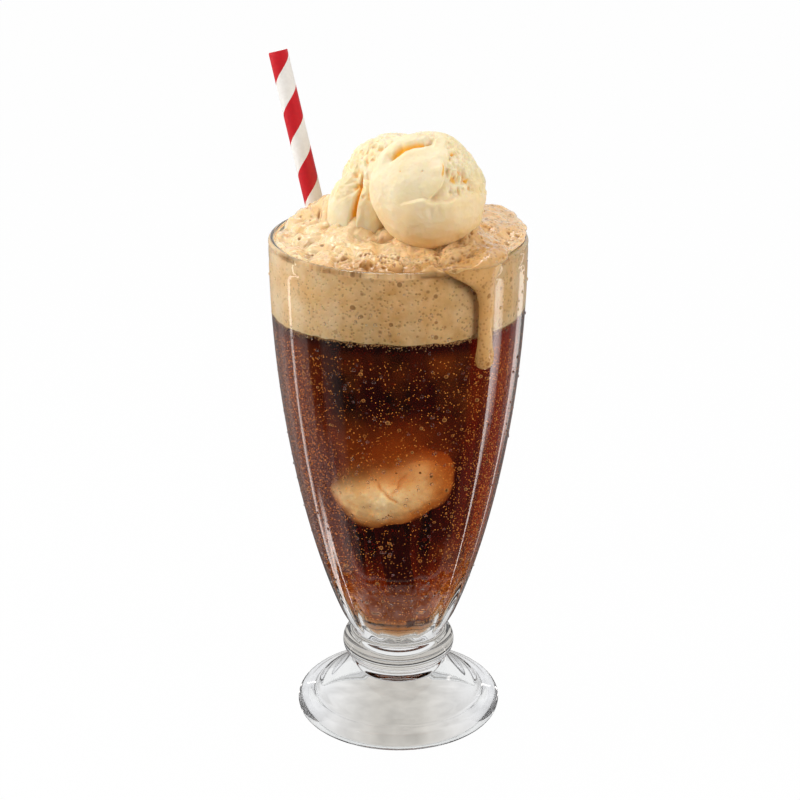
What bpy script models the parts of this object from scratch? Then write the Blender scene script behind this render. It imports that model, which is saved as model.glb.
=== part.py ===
"""Ice cream float: a footed soda glass with cola, foam, two scoops of vanilla ice cream and a straw.

Run with blender --background --python part.py, or from Blender's text editor. Lengths are in metres.
The origin lies on the glass's axis, on the surface it stands on. +Z is up and the shown side faces -Y.
"""

import math

import bmesh
import bpy
import numpy as np

MM = 0.001

# Glass: a pressed soda glass. Heights are measured from the table.
GLASS_HEIGHT = 184.8 * MM
RIM_RADIUS = 45.2 * MM
LIP_RADIUS = 1.3 * MM
BOWL_TOP_HEIGHT = 178.0 * MM
BOWL_TOP_RADIUS = 44.92 * MM
BOWL_BASE_HEIGHT = 32.3 * MM
BOWL_BASE_RADIUS = 16.2 * MM
BOWL_BELLY_POWER = 1.89
BOWL_ROUNDING_POWER = 0.824
WALL = 2.6 * MM
WALL_EXTRA_AT_BASE = 7.6 * MM
WALL_THICKENS_FROM = 68.0 * MM
WALL_THICKEST_AT = 38.0 * MM
BORE_ROUND_TOP = 41.0 * MM
BORE_BOTTOM = 35.0 * MM
FLUTE_COUNT = 18
FLUTE_DEPTH = 0.45 * MM
FLUTE_TOP = 181.0 * MM
FLUTE_FULL_BELOW = 176.0 * MM
FLUTE_BASE = 34.0 * MM
FLUTE_FULL_ABOVE = 40.0 * MM
KNOP_HEIGHT = 27.5 * MM
KNOP_RADIUS = 20.7 * MM
KNOP_HALF_HEIGHT = 5.2 * MM
KNOP_DEPTH = 3.9 * MM
NECK_RADIUS = 16.9 * MM
NECK_HEIGHT = 21.2 * MM
FOOT_RADIUS = 37.9 * MM
FOOT_EDGE_RADIUS = 3.1 * MM
FOOT_HOLLOW_RADIUS = 31.8 * MM
FOOT_HOLLOW_SHOULDER_RADIUS = 12.5 * MM
FOOT_HOLLOW_SHOULDER_HEIGHT = 14.2 * MM
FOOT_HOLLOW_HEIGHT = 15.6 * MM

# Drink and foam. The boundary between them is seen through the wall.
GAP = 0.3 * MM
BOUNDARY_HEIGHT = 159.2 * MM
BOUNDARY_RIGHT_RISE = 0.7 * MM
FOAM_EDGE_HEIGHT = 184.3 * MM
FOAM_DOME_RISE = 3.2 * MM
# Swells of the foam's top in mm: rise, centre x, centre y, spread.
FOAM_SWELLS = (
    (4.6, 31.0, 14.0, 14.0),
    (6.4, 25.0, -21.0, 9.5),
    (2.6, -31.0, 17.0, 10.0),
    (7.0, -22.0, 13.0, 9.0),
    (-3.2, 5.0, -20.0, 11.0),
    (2.2, 36.0, -5.0, 9.0),
)
# The roll lies on the rim between two azimuths, in degrees from the front towards the right.
ROLL_START = 58.0
ROLL_END = 152.0
ROLL_RADIUS = 42.2 * MM
ROLL_THICKNESS = 2.5 * MM
# The tongue that ends in a drip: mm above its lower end, then azimuth, half width and thickness there.
DRIP_END = 147.5 * MM
TONGUE_HEIGHTS = (0.0, 1.2, 4.1, 10.5, 23.5, 29.0, 32.5, 35.8, 37.6, 38.6)
TONGUE_AZIMUTHS = (40.5, 40.5, 40.5, 40.5, 40.5, 40.0, 38.5, 36.5, 35.5, 35.0)
TONGUE_WIDTHS = (0.9, 2.4, 3.6, 3.0, 3.2, 4.2, 7.0, 11.5, 13.0, 12.5)
TONGUE_DEPTHS = (1.0, 2.6, 3.4, 2.4, 2.1, 2.3, 2.5, 2.8, 2.8, 2.4)
TONGUE_STEPS = 14
TONGUE_SIDES = 12

# Ice cream: centre (x, y, z) and radii of each rounded lump.
FRONT_CENTRE = np.array([11.4, -11.0, 203.1]) * MM
FRONT_RADIUS = 20.2 * MM
BACK_CENTRE = np.array([-0.9, 12.0, 198.0]) * MM
BACK_RADIUS = 19.2 * MM
BACK_START = BACK_CENTRE + np.array([-5.5, -3.0, -3.5]) * MM
LEFT_LOBE_CENTRE = np.array([-16.4, 3.0, 191.0]) * MM
LEFT_LOBE_RADII = np.array([8.0, 9.8, 13.0]) * MM
MIDDLE_LOBE_CENTRE = np.array([-10.2, -2.6, 190.6]) * MM
MIDDLE_LOBE_RADII = np.array([4.6, 6.5, 13.0]) * MM
BACK_JOIN_POWER = 7.0
BACK_CLEFT_DEPTH = 2.0 * MM
BACK_CLEFT_WIDTH = 0.13
BACK_CLEFT_TOP = np.array([-11.8, -3.0, 203.9]) * MM
BACK_CLEFT_BOTTOM = np.array([-15.6, -9.0, 188.6]) * MM
VIEW_TILT = math.radians(15.5)

# Straw: a paper tube that stands on the bowl's floor and leans on the rim.
STRAW_RADIUS = 3.45 * MM
STRAW_WALL = 0.5 * MM
STRAW_FOOT = np.array([4.9, 0.1, 39.6]) * MM
STRAW_TOP = np.array([-42.6, 35.2, 242.0]) * MM

# Fineness of the facets.
STEPS = 54
BORE_FACETS = 11
START_ANGLE = math.radians(10.0)
STRAW_SIDES = 18
MERGE = 0.00001


def new_collection(name: str) -> bpy.types.Collection:
    """Adds a collection to the scene."""
    collection = bpy.data.collections.new(name)
    bpy.context.scene.collection.children.link(collection)
    return collection


def clear_scene() -> None:
    """Removes the objects that the scene starts with."""
    for obj in list(bpy.data.objects):
        bpy.data.objects.remove(obj, do_unlink=True)


def material(name: str, colour: tuple, roughness: float) -> bpy.types.Material:
    """Makes a Principled material in one plain colour."""
    made = bpy.data.materials.new(name)
    made.use_nodes = True
    shader = made.node_tree.nodes["Principled BSDF"]
    shader.inputs["Base Color"].default_value = colour
    shader.inputs["Roughness"].default_value = roughness
    made.diffuse_color = colour
    return made


def add_object(name: str, mesh: bpy.types.Mesh, collection: bpy.types.Collection) -> bpy.types.Object:
    """Links a new object that holds the mesh."""
    obj = bpy.data.objects.new(name, mesh)
    collection.objects.link(obj)
    return obj


def apply_modifiers(obj: bpy.types.Object) -> None:
    """Replaces the object's mesh with its evaluated one, caps welded, and removes the modifiers."""
    bpy.context.view_layer.update()
    graph = bpy.context.evaluated_depsgraph_get()
    mesh = bpy.data.meshes.new_from_object(obj.evaluated_get(graph))
    obj.modifiers.clear()
    obj.data = mesh
    shape = bmesh.new()
    shape.from_mesh(mesh)
    bmesh.ops.remove_doubles(shape, verts=shape.verts, dist=MERGE)
    shape.to_mesh(mesh)
    shape.free()


def turned(name: str, profile: list, collection: bpy.types.Collection) -> bpy.types.Object:
    """Turns a (radius, height) profile that starts and ends on the axis. Its outer side runs down."""
    points = [(r * math.cos(START_ANGLE), r * math.sin(START_ANGLE), z) for r, z in profile]
    edges = [(i, i + 1) for i in range(len(points) - 1)]
    mesh = bpy.data.meshes.new(name)
    mesh.from_pydata(points, edges, [])
    obj = add_object(name, mesh, collection)
    screw = obj.modifiers.new("turn", "SCREW")
    screw.axis = "Z"
    screw.steps = STEPS
    screw.render_steps = STEPS
    screw.use_merge_vertices = True
    screw.merge_threshold = MERGE
    apply_modifiers(obj)
    return obj


def reshape(obj: bpy.types.Object, rule) -> None:
    """Moves every vertex to rule(x, y, z), which takes and gives arrays."""
    places = np.empty(len(obj.data.vertices) * 3)
    obj.data.vertices.foreach_get("co", places)
    places = places.reshape(-1, 3)
    moved = np.stack(rule(places[:, 0], places[:, 1], places[:, 2]), axis=1)
    obj.data.vertices.foreach_set("co", moved.ravel())
    obj.data.update()


def combine(obj: bpy.types.Object, other: bpy.types.Object, operation: str) -> None:
    """Applies one exact Boolean to the object."""
    boolean = obj.modifiers.new("combine", "BOOLEAN")
    boolean.operation = operation
    boolean.solver = "EXACT"
    boolean.object = other
    apply_modifiers(obj)


def smooth_step(value, low: float, high: float):
    """Rises smoothly from 0 at low to 1 at high, or falls when low is above high."""
    share = np.clip((value - low) / (high - low), 0.0, 1.0)
    return share * share * (3.0 - 2.0 * share)


def arc(centre_r: float, centre_z: float, size_r: float, size_z: float, start: float, end: float, count: int):
    """Points (radius, height) of an elliptic arc between two angles in degrees, 0 outwards and 90 up."""
    angles = np.radians(np.linspace(start, end, count))
    return [(centre_r + size_r * math.cos(a), centre_z + size_z * math.sin(a)) for a in angles]


def bowl_outer_radius(z):
    """Radius of the bowl's outside midway between two ridges.

    It is base + (top - base) (1 - (1 - t)^a)^b, where t is the share of the bowl's height.
    """
    share = np.clip((z - BOWL_BASE_HEIGHT) / (BOWL_TOP_HEIGHT - BOWL_BASE_HEIGHT), 0.0, 1.0)
    swell = (1.0 - (1.0 - share) ** BOWL_BELLY_POWER) ** BOWL_ROUNDING_POWER
    return BOWL_BASE_RADIUS + (BOWL_TOP_RADIUS - BOWL_BASE_RADIUS) * swell


def bowl_inner_radius(z):
    """Radius of the bowl's inside: the outside less a wall that thickens towards the base."""
    extra = WALL_EXTRA_AT_BASE * smooth_step(z, WALL_THICKENS_FROM, WALL_THICKEST_AT)
    return bowl_outer_radius(z) - WALL - extra


def bore_rings(low: float, high: float, gap: float) -> list:
    """Points (radius, height) up the bore between two heights, on the bore's own facets, less the gap."""
    facets = np.linspace(BORE_ROUND_TOP, GLASS_HEIGHT - LIP_RADIUS, BORE_FACETS)
    between = facets[(facets > low + MM) & (facets < high - MM)]
    heights = np.concatenate([[low], between, [high]])
    radii = np.interp(heights, facets, bowl_inner_radius(facets)) - gap
    return list(zip(radii.tolist(), heights.tolist()))


def bore_floor(gap: float, count: int) -> list:
    """The round floor of the bore, from the axis outwards, moved inwards by the gap."""
    radius = bowl_inner_radius(BORE_ROUND_TOP)
    depth = BORE_ROUND_TOP - BORE_BOTTOM
    return arc(0.0, BORE_ROUND_TOP, radius - gap, depth - gap, -90.0, 0.0, count)


def glass_profile() -> list:
    """The glass from its inner floor up over the rim, down the outside and under the foot."""
    profile = bore_floor(0.0, 4)
    profile += bore_rings(BORE_ROUND_TOP, GLASS_HEIGHT - LIP_RADIUS, 0.0)[1:-1]
    profile += arc(RIM_RADIUS - LIP_RADIUS, GLASS_HEIGHT - LIP_RADIUS, LIP_RADIUS, LIP_RADIUS, 180.0, 0.0, 6)
    outer_heights = np.concatenate(
        [[FLUTE_TOP, FLUTE_FULL_BELOW], np.linspace(164.0 * MM, FLUTE_FULL_ABOVE, 9), [FLUTE_BASE]]
    )
    profile += [(float(bowl_outer_radius(z)), float(z)) for z in outer_heights]
    profile += arc(KNOP_RADIUS - KNOP_DEPTH, KNOP_HEIGHT, KNOP_DEPTH, KNOP_HALF_HEIGHT, 68.0, -68.0, 7)
    profile += foot_top()
    edge_centre = FOOT_RADIUS - FOOT_EDGE_RADIUS
    profile += arc(edge_centre, FOOT_EDGE_RADIUS, FOOT_EDGE_RADIUS, FOOT_EDGE_RADIUS, 90.0, -90.0, 6)
    profile += foot_hollow()
    return profile


def foot_top() -> list:
    """The foot's top from the neck outwards: a short hollow curve, then a cone down to the edge."""
    edge_centre = FOOT_RADIUS - FOOT_EDGE_RADIUS
    drop = NECK_HEIGHT - 2.0 * FOOT_EDGE_RADIUS
    shares = np.linspace(0.0, 1.0, 6)[:-1].tolist()
    return [
        (NECK_RADIUS + (edge_centre - NECK_RADIUS) * share**1.3, NECK_HEIGHT - drop * share**0.93)
        for share in shares
    ]


def foot_hollow() -> list:
    """The hollow under the foot, from its edge to the axis: a cone with a shallow round top."""
    shoulder = (FOOT_HOLLOW_SHOULDER_RADIUS, FOOT_HOLLOW_SHOULDER_HEIGHT)
    edge = [(FOOT_HOLLOW_RADIUS, 0.0), (FOOT_HOLLOW_RADIUS - 0.6 * MM, 0.7 * MM)]
    middle = [((edge[1][0] + shoulder[0]) / 2.0, (edge[1][1] + shoulder[1]) / 2.0)]
    rise = FOOT_HOLLOW_HEIGHT - FOOT_HOLLOW_SHOULDER_HEIGHT
    return edge + middle + arc(0.0, shoulder[1], shoulder[0], rise, 0.0, 90.0, 4)


def flute(x, y, z):
    """Raises a ridge between each two flutes of the bowl's outside."""
    radius = np.hypot(x, y)
    outside = radius > bowl_outer_radius(z) - WALL / 2.0
    pitch = 2.0 * math.pi / FLUTE_COUNT
    turn = np.arctan2(y, x) / pitch
    from_middle = 2.0 * np.abs(turn - np.round(turn))
    height = smooth_step(z, FLUTE_TOP, FLUTE_FULL_BELOW) * smooth_step(z, FLUTE_BASE, FLUTE_FULL_ABOVE)
    raised = radius + np.where(outside, FLUTE_DEPTH * from_middle**2 * height, 0.0)
    scale = raised / np.maximum(radius, MERGE)
    return x * scale, y * scale, z


def make_glass(collection: bpy.types.Collection) -> bpy.types.Object:
    """The glass is one pressed piece: bowl, knop and foot."""
    glass = turned("glass", glass_profile(), collection)
    reshape(glass, flute)
    return glass


def boundary_offset(x, y):
    """How far the foam's underside stands above its mean height: higher at the right, and uneven."""
    ripple = 0.5 * MM * np.sin(3.0 * np.arctan2(y, x) + 1.0) * np.hypot(x, y) / BOWL_TOP_RADIUS
    return BOUNDARY_RIGHT_RISE * x / BOWL_TOP_RADIUS + ripple


def make_cola(collection: bpy.types.Collection) -> bpy.types.Object:
    """Cola from the bowl's floor up to the foam."""
    top = BOUNDARY_HEIGHT - GAP
    profile = [(0.0, top), (15.0 * MM, top), (30.0 * MM, top)]
    profile += bore_rings(BORE_ROUND_TOP, top, GAP)[:0:-1]
    profile += bore_floor(GAP, 4)[::-1]
    cola = turned("cola", profile, collection)

    def settle(x, y, z):
        return x, y, z + np.where(z > top - MERGE, boundary_offset(x, y), 0.0)

    reshape(cola, settle)
    return cola


def foam_height(x, y):
    """Height of the foam's top: a low dome with round swells, each falling off as exp(-d^2 / spread^2)."""
    share = np.clip(np.hypot(x, y) / (BOWL_TOP_RADIUS - WALL), 0.0, 1.0)
    height = FOAM_EDGE_HEIGHT + FOAM_DOME_RISE * (1.0 - share**2)
    for rise, centre_x, centre_y, spread in FOAM_SWELLS:
        distance = np.hypot(x - centre_x * MM, y - centre_y * MM)
        height += rise * MM * np.exp(-((distance / (spread * MM)) ** 2))
    return height


def make_foam(collection: bpy.types.Collection) -> bpy.types.Object:
    """Foam: a plug in the glass, a roll over the rim at the right and a tongue that ends in a drip."""
    top = GLASS_HEIGHT
    side = float(bowl_inner_radius(GLASS_HEIGHT)) - GAP
    rings = np.linspace(0.0, 1.0, 8)[:-1]
    profile = [(float(side * s), top) for s in rings]
    profile += [(side, top)]
    profile += bore_rings(BOUNDARY_HEIGHT, GLASS_HEIGHT - LIP_RADIUS, GAP)[::-1]
    profile += [(30.0 * MM, BOUNDARY_HEIGHT), (15.0 * MM, BOUNDARY_HEIGHT), (0.0, BOUNDARY_HEIGHT)]
    foam = turned("foam", profile, collection)

    def settle(x, y, z):
        raised = np.where(z > top - MERGE, foam_height(x, y), z)
        return x, y, raised + np.where(z < BOUNDARY_HEIGHT + MERGE, boundary_offset(x, y), 0.0)

    reshape(foam, settle)
    for piece in (make_roll(collection), make_tongue(collection)):
        combine(foam, piece, "UNION")
        bpy.data.objects.remove(piece, do_unlink=True)
    return foam


def around(azimuth: float, radius: float, z: float) -> tuple:
    """A point at an azimuth in degrees, 0 at the front and 90 at the right."""
    angle = math.radians(azimuth)
    return radius * math.sin(angle), -radius * math.cos(angle), z


def make_roll(collection: bpy.types.Collection) -> bpy.types.Object:
    """A roll of foam that bulges over the rim at the right: a tube along the rim, thin at its ends."""
    azimuths = np.linspace(ROLL_START, ROLL_END, 12)
    curve = bpy.data.curves.new("roll", "CURVE")
    curve.dimensions = "3D"
    curve.bevel_depth = ROLL_THICKNESS
    curve.bevel_resolution = 2
    curve.use_fill_caps = True
    spline = curve.splines.new("POLY")
    spline.points.add(len(azimuths) - 1)
    for point, azimuth, share in zip(spline.points, azimuths, np.linspace(0.0, 1.0, len(azimuths))):
        size = 0.45 + 0.55 * math.sin(math.pi * float(share))
        height = GLASS_HEIGHT + GAP + ROLL_THICKNESS * size
        point.co = (*around(float(azimuth), ROLL_RADIUS, height), 1.0)
        point.radius = size
    roll = add_object("roll", curve, collection)
    mesh_object = add_object("roll_mesh", evaluated_mesh(roll), collection)
    bpy.data.objects.remove(roll, do_unlink=True)
    return mesh_object


def evaluated_mesh(obj: bpy.types.Object) -> bpy.types.Mesh:
    """The object's evaluated shape as a mesh with its caps welded."""
    bpy.context.view_layer.update()
    mesh = bpy.data.meshes.new_from_object(obj.evaluated_get(bpy.context.evaluated_depsgraph_get()))
    shape = bmesh.new()
    shape.from_mesh(mesh)
    bmesh.ops.remove_doubles(shape, verts=shape.verts, dist=MERGE)
    shape.to_mesh(mesh)
    shape.free()
    return mesh


def tongue_path() -> list:
    """The tongue's line (radius, height) on the glass: out of the foam, over the rim and down the outside."""
    clearance = GAP + 0.1 * MM
    lip = LIP_RADIUS + clearance
    path = [(38.0 * MM, GLASS_HEIGHT + 0.9 * MM), (41.5 * MM, GLASS_HEIGHT + 0.6 * MM)]
    path += arc(RIM_RADIUS - LIP_RADIUS, GLASS_HEIGHT - LIP_RADIUS, lip, lip, 100.0, 10.0, 5)
    for height in np.linspace(FLUTE_TOP, DRIP_END, TONGUE_STEPS).tolist():
        path.append((float(bowl_outer_radius(height)) + FLUTE_DEPTH + clearance, height))
    return path


def tongue_size(height: float) -> tuple:
    """Azimuth in degrees, half width and thickness of the tongue at a height: a fan, then a drop."""
    above_end = (height - DRIP_END) / MM
    azimuth = float(np.interp(above_end, TONGUE_HEIGHTS, TONGUE_AZIMUTHS))
    width = float(np.interp(above_end, TONGUE_HEIGHTS, TONGUE_WIDTHS)) * MM
    depth = float(np.interp(above_end, TONGUE_HEIGHTS, TONGUE_DEPTHS)) * MM
    return azimuth, width, depth


def make_tongue(collection: bpy.types.Collection) -> bpy.types.Object:
    """The foam's overflow: a loft of half-round sections that hug the glass, with their flat side on it."""
    path = tongue_path()
    shape = bmesh.new()
    rows = []
    for index, (radius, height) in enumerate(path):
        azimuth, width, depth = tongue_size(height)
        before = path[max(index - 1, 0)]
        after = path[min(index + 1, len(path) - 1)]
        run = np.array([after[0] - before[0], after[1] - before[1]])
        out = np.array([-run[1], run[0]]) / np.linalg.norm(run)
        row = []
        for side in range(TONGUE_SIDES):
            angle = 2.0 * math.pi * side / TONGUE_SIDES
            lift = depth * max(math.sin(angle), 0.0)
            sideways = math.degrees(width * math.cos(angle) / radius)
            place = around(azimuth + sideways, radius + lift * out[0], height + lift * out[1])
            row.append(shape.verts.new(place))
        rows.append(row)
    for low, high in zip(rows, rows[1:]):
        for side in range(TONGUE_SIDES):
            after_side = (side + 1) % TONGUE_SIDES
            shape.faces.new((low[side], low[after_side], high[after_side], high[side]))
    shape.faces.new(rows[0])
    shape.faces.new(rows[-1])
    bmesh.ops.triangulate(shape, faces=shape.faces)
    bmesh.ops.recalc_face_normals(shape, faces=shape.faces)
    mesh = bpy.data.meshes.new("tongue")
    shape.to_mesh(mesh)
    shape.free()
    return add_object("tongue", mesh, collection)


def exit_distance(directions, start, centre, radii):
    """How far each ray from the start runs before it leaves an ellipsoid, or 0 where it misses."""
    reach = directions / radii
    offset = (start - centre) / radii
    a = (reach**2).sum(axis=1)
    b = (reach * offset).sum(axis=1)
    c = (offset**2).sum() - 1.0
    inside = b**2 - a * c
    return np.where(inside > 0.0, np.maximum((np.sqrt(np.maximum(inside, 0.0)) - b) / a, 0.0), 0.0)


def facing(right: float, up: float) -> np.ndarray:
    """Direction of a spot on a scoop as it is seen from the front, as shares of its radius."""
    near = math.sqrt(max(1.0 - right**2 - up**2, 0.0))
    y = up * math.sin(VIEW_TILT) - near * math.cos(VIEW_TILT)
    z = up * math.cos(VIEW_TILT) + near * math.sin(VIEW_TILT)
    return np.array([right, y, z])


def along_arc(directions, start, end, width: float):
    """1 on the arc between two directions, falling smoothly to 0 at the width beside it."""
    shares = np.linspace(0.0, 1.0, 7)[:, None]
    spots = start * (1.0 - shares) + end * shares
    spots /= np.linalg.norm(spots, axis=1)[:, None]
    nearest = np.min([np.linalg.norm(directions - spot, axis=1) for spot in spots], axis=0)
    return 1.0 - smooth_step(nearest, 0.0, width)


def make_ball(name: str, start, reach, collection: bpy.types.Collection) -> bpy.types.Object:
    """A closed lump about a start point, whose surface lies at reach(directions) from it."""
    shape = bmesh.new()
    bmesh.ops.create_icosphere(shape, subdivisions=4, radius=1.0)
    mesh = bpy.data.meshes.new(name)
    shape.to_mesh(mesh)
    shape.free()
    obj = add_object(name, mesh, collection)

    def place(x, y, z):
        directions = np.stack([x, y, z], axis=1)
        directions /= np.linalg.norm(directions, axis=1)[:, None]
        places = start + directions * reach(directions)[:, None]
        return places[:, 0], places[:, 1], places[:, 2]

    reshape(obj, place)
    return obj


def front_reach(directions):
    """Surface of the front scoop: a ball with a cleft at the top, a ledge across it and a ragged side."""
    reach = np.full(len(directions), FRONT_RADIUS)
    reach -= 1.5 * MM * along_arc(directions, facing(-0.70, 0.52), facing(-0.02, 0.84), 0.20)
    reach += 0.7 * MM * along_arc(directions, facing(-0.40, -0.22), facing(0.46, -0.14), 0.22)
    reach += 0.6 * MM * along_arc(directions, facing(0.0, -0.18), facing(0.26, 0.42), 0.18)
    reach -= 1.2 * MM * along_arc(directions, facing(0.42, 0.20), facing(0.62, 0.42), 0.26)
    reach += 0.5 * MM * np.sin(9.0 * directions[:, 2] + 2.0) * np.clip(directions[:, 0], 0.0, 1.0)
    return reach


def back_reach(directions):
    """Surface of the back scoop: a ball and two lobes blended into one, with a cleft between the lobes."""
    ball = exit_distance(directions, BACK_START, BACK_CENTRE, np.full(3, BACK_RADIUS))
    left = exit_distance(directions, BACK_START, LEFT_LOBE_CENTRE, LEFT_LOBE_RADII)
    middle = exit_distance(directions, BACK_START, MIDDLE_LOBE_CENTRE, MIDDLE_LOBE_RADII)
    total = sum((part / MM) ** BACK_JOIN_POWER for part in (ball, left, middle))
    reach = total ** (1.0 / BACK_JOIN_POWER) * MM
    top = BACK_CLEFT_TOP - BACK_START
    bottom = BACK_CLEFT_BOTTOM - BACK_START
    cleft = along_arc(directions, top / np.linalg.norm(top), bottom / np.linalg.norm(bottom), BACK_CLEFT_WIDTH)
    reach -= BACK_CLEFT_DEPTH * cleft
    ripple = np.sin(11.0 * directions[:, 2] + 4.0 * directions[:, 0])
    return reach + 0.35 * MM * ripple


def make_scoops(collection: bpy.types.Collection) -> tuple:
    """The two scoops that stand out of the foam. The front one is pressed into the back one."""
    front = make_ball("scoop_front", FRONT_CENTRE, front_reach, collection)
    back = make_ball("scoop_back", BACK_START, back_reach, collection)
    return front, back


def swollen(obj: bpy.types.Object, amount: float, cutters: bpy.types.Collection) -> bpy.types.Object:
    """A copy of the object grown by the amount along its normals, for cutting its neighbours."""
    mesh = obj.data.copy()
    shape = bmesh.new()
    shape.from_mesh(mesh)
    shape.normal_update()
    moves = [(vertex, vertex.normal * amount) for vertex in shape.verts]
    for vertex, move in moves:
        vertex.co += move
    shape.to_mesh(mesh)
    shape.free()
    cutter = add_object(obj.name + "_clearance", mesh, cutters)
    mark_cutter(cutter)
    return cutter


def mark_cutter(obj: bpy.types.Object) -> None:
    """Shows a cutter as wires and keeps it out of renders."""
    obj.hide_render = True
    obj.display_type = "WIRE"


def straw_tube(name: str, radius: float, extra: float, collection: bpy.types.Collection) -> bpy.types.Object:
    """A solid rod along the straw, longer by the extra at each end."""
    run = STRAW_TOP - STRAW_FOOT
    length = float(np.linalg.norm(run))
    direction = run / length
    shape = bmesh.new()
    bmesh.ops.create_cone(
        shape,
        cap_ends=True,
        segments=STRAW_SIDES,
        radius1=radius,
        radius2=radius,
        depth=length + 2.0 * extra,
    )
    mesh = bpy.data.meshes.new(name)
    shape.to_mesh(mesh)
    shape.free()
    rod = add_object(name, mesh, collection)
    rod.location = (STRAW_FOOT + STRAW_TOP) / 2.0
    rod.rotation_euler = (0.0, math.acos(direction[2]), math.atan2(direction[1], direction[0]))
    return rod


def make_straw(collection: bpy.types.Collection, cutters: bpy.types.Collection) -> bpy.types.Object:
    """The straw: a thin tube open at both ends."""
    straw = straw_tube("straw", STRAW_RADIUS, 0.0, collection)
    bore = straw_tube("straw_bore", STRAW_RADIUS - STRAW_WALL, 5.0 * MM, cutters)
    mark_cutter(bore)
    combine(straw, bore, "DIFFERENCE")
    return straw


def finish(obj: bpy.types.Object, look: bpy.types.Material, sharp_degrees: float) -> None:
    """Gives the object its material and smooth shading."""
    obj.data.materials.clear()
    obj.data.materials.append(look)
    obj.data.shade_smooth()
    obj.data.set_sharp_from_angle(angle=math.radians(sharp_degrees))


def main() -> None:
    """Builds the float."""
    clear_scene()
    parts = new_collection("ice_cream_float")
    cutters = new_collection("cutters")

    glass = make_glass(parts)
    cola = make_cola(parts)
    foam = make_foam(parts)
    front, back = make_scoops(parts)
    straw = make_straw(parts, cutters)

    front_clearance = swollen(front, GAP, cutters)
    combine(back, front_clearance, "DIFFERENCE")
    back_clearance = swollen(back, GAP, cutters)
    straw_clearance = straw_tube("straw_clearance", STRAW_RADIUS + GAP, GAP, cutters)
    mark_cutter(straw_clearance)
    for cutter in (front_clearance, back_clearance, straw_clearance):
        combine(foam, cutter, "DIFFERENCE")
    combine(cola, straw_clearance, "DIFFERENCE")

    finish(glass, material("clear_glass", (0.90, 0.94, 0.95, 1.0), 0.03), 30.0)
    finish(cola, material("cola", (0.10, 0.025, 0.008, 1.0), 0.10), 40.0)
    finish(foam, material("cola_foam", (0.62, 0.42, 0.22, 1.0), 0.55), 50.0)
    finish(front, material("vanilla_front", (0.86, 0.72, 0.42, 1.0), 0.45), 60.0)
    finish(back, material("vanilla_back", (0.84, 0.69, 0.38, 1.0), 0.45), 60.0)
    finish(straw, material("striped_paper", (0.75, 0.08, 0.10, 1.0), 0.60), 40.0)


main()
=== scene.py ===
"""Looks of the ice cream float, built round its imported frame.

A pressed soda glass holds cola under a head of foam, which bulges over the rim and runs down in one drip. Two
scoops of vanilla ice cream stand out of the foam, a third is sunk in the drink, and a striped paper straw
leans on the rim. Lengths are in metres, +Z is up, and the shown side faces -Y.
"""

import logging
import math
from dataclasses import dataclass
from enum import Enum

import bpy
import numpy as np
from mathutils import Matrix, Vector


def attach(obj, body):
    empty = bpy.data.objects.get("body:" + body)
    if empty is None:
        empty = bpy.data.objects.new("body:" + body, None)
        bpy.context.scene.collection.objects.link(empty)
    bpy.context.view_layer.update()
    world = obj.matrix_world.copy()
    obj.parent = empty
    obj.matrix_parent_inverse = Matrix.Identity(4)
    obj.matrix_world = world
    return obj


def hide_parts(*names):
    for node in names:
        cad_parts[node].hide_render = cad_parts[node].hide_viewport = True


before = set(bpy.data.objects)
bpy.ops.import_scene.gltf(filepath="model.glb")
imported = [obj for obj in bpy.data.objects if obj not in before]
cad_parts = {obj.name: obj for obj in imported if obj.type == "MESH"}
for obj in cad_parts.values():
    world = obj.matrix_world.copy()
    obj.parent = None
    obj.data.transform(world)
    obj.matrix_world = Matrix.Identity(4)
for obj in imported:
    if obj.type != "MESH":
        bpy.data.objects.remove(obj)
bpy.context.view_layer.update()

MM = 0.001
BODY = "root"
LOG = logging.getLogger("float")

Array = np.ndarray
Colour = tuple[float, float, float]
Socket = bpy.types.NodeSocket
Material = bpy.types.Material
Mesh = bpy.types.Mesh

WHITE: Colour = (1.0, 1.0, 1.0)
TABLE_SIZE = 4096
HASH_FACTORS = (73856093, 19349663, 83492791)
SKIN_GAP = 0.05 * MM


class Slot(Enum):
    """Material slots of the record."""

    GLASS = "clear_glass"
    COLA = "cola"
    FOAM = "foam"
    ICE_CREAM = "ice_cream"
    STRAW = "striped_paper"


def smooth_step(value: Array, low: float, high: float) -> Array:
    """Rises smoothly from 0 at low to 1 at high, or falls when low is above high.

    Args:
        value: Values to map.
        low: Value that gives 0.
        high: Value that gives 1.

    Returns:
        Values from 0 to 1, by 3 s^2 - 2 s^3 of the share s of the way.
    """
    share = np.clip((value - low) / (high - low), 0.0, 1.0)
    return share * share * (3.0 - 2.0 * share)


def band(value: Array, start: float, full: float, fading: float, end: float) -> Array:
    """Rises smoothly from 0 at start to 1 at full, and falls from 1 at fading to 0 at end."""
    return smooth_step(value, start, full) * smooth_step(value, end, fading)


def bell(distance: Array, width: float) -> Array:
    """1 at distance 0, falling off on both sides as exp(-(distance / width)^2)."""
    return np.exp(-((distance / width) ** 2))


def lattice_key(index: Array) -> Array:
    """Table entry of each lattice corner: its indices times three primes, joined by exclusive or."""
    x, y, z = (index[..., axis] * factor for axis, factor in enumerate(HASH_FACTORS))
    return (x ^ y ^ z) & (TABLE_SIZE - 1)


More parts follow.
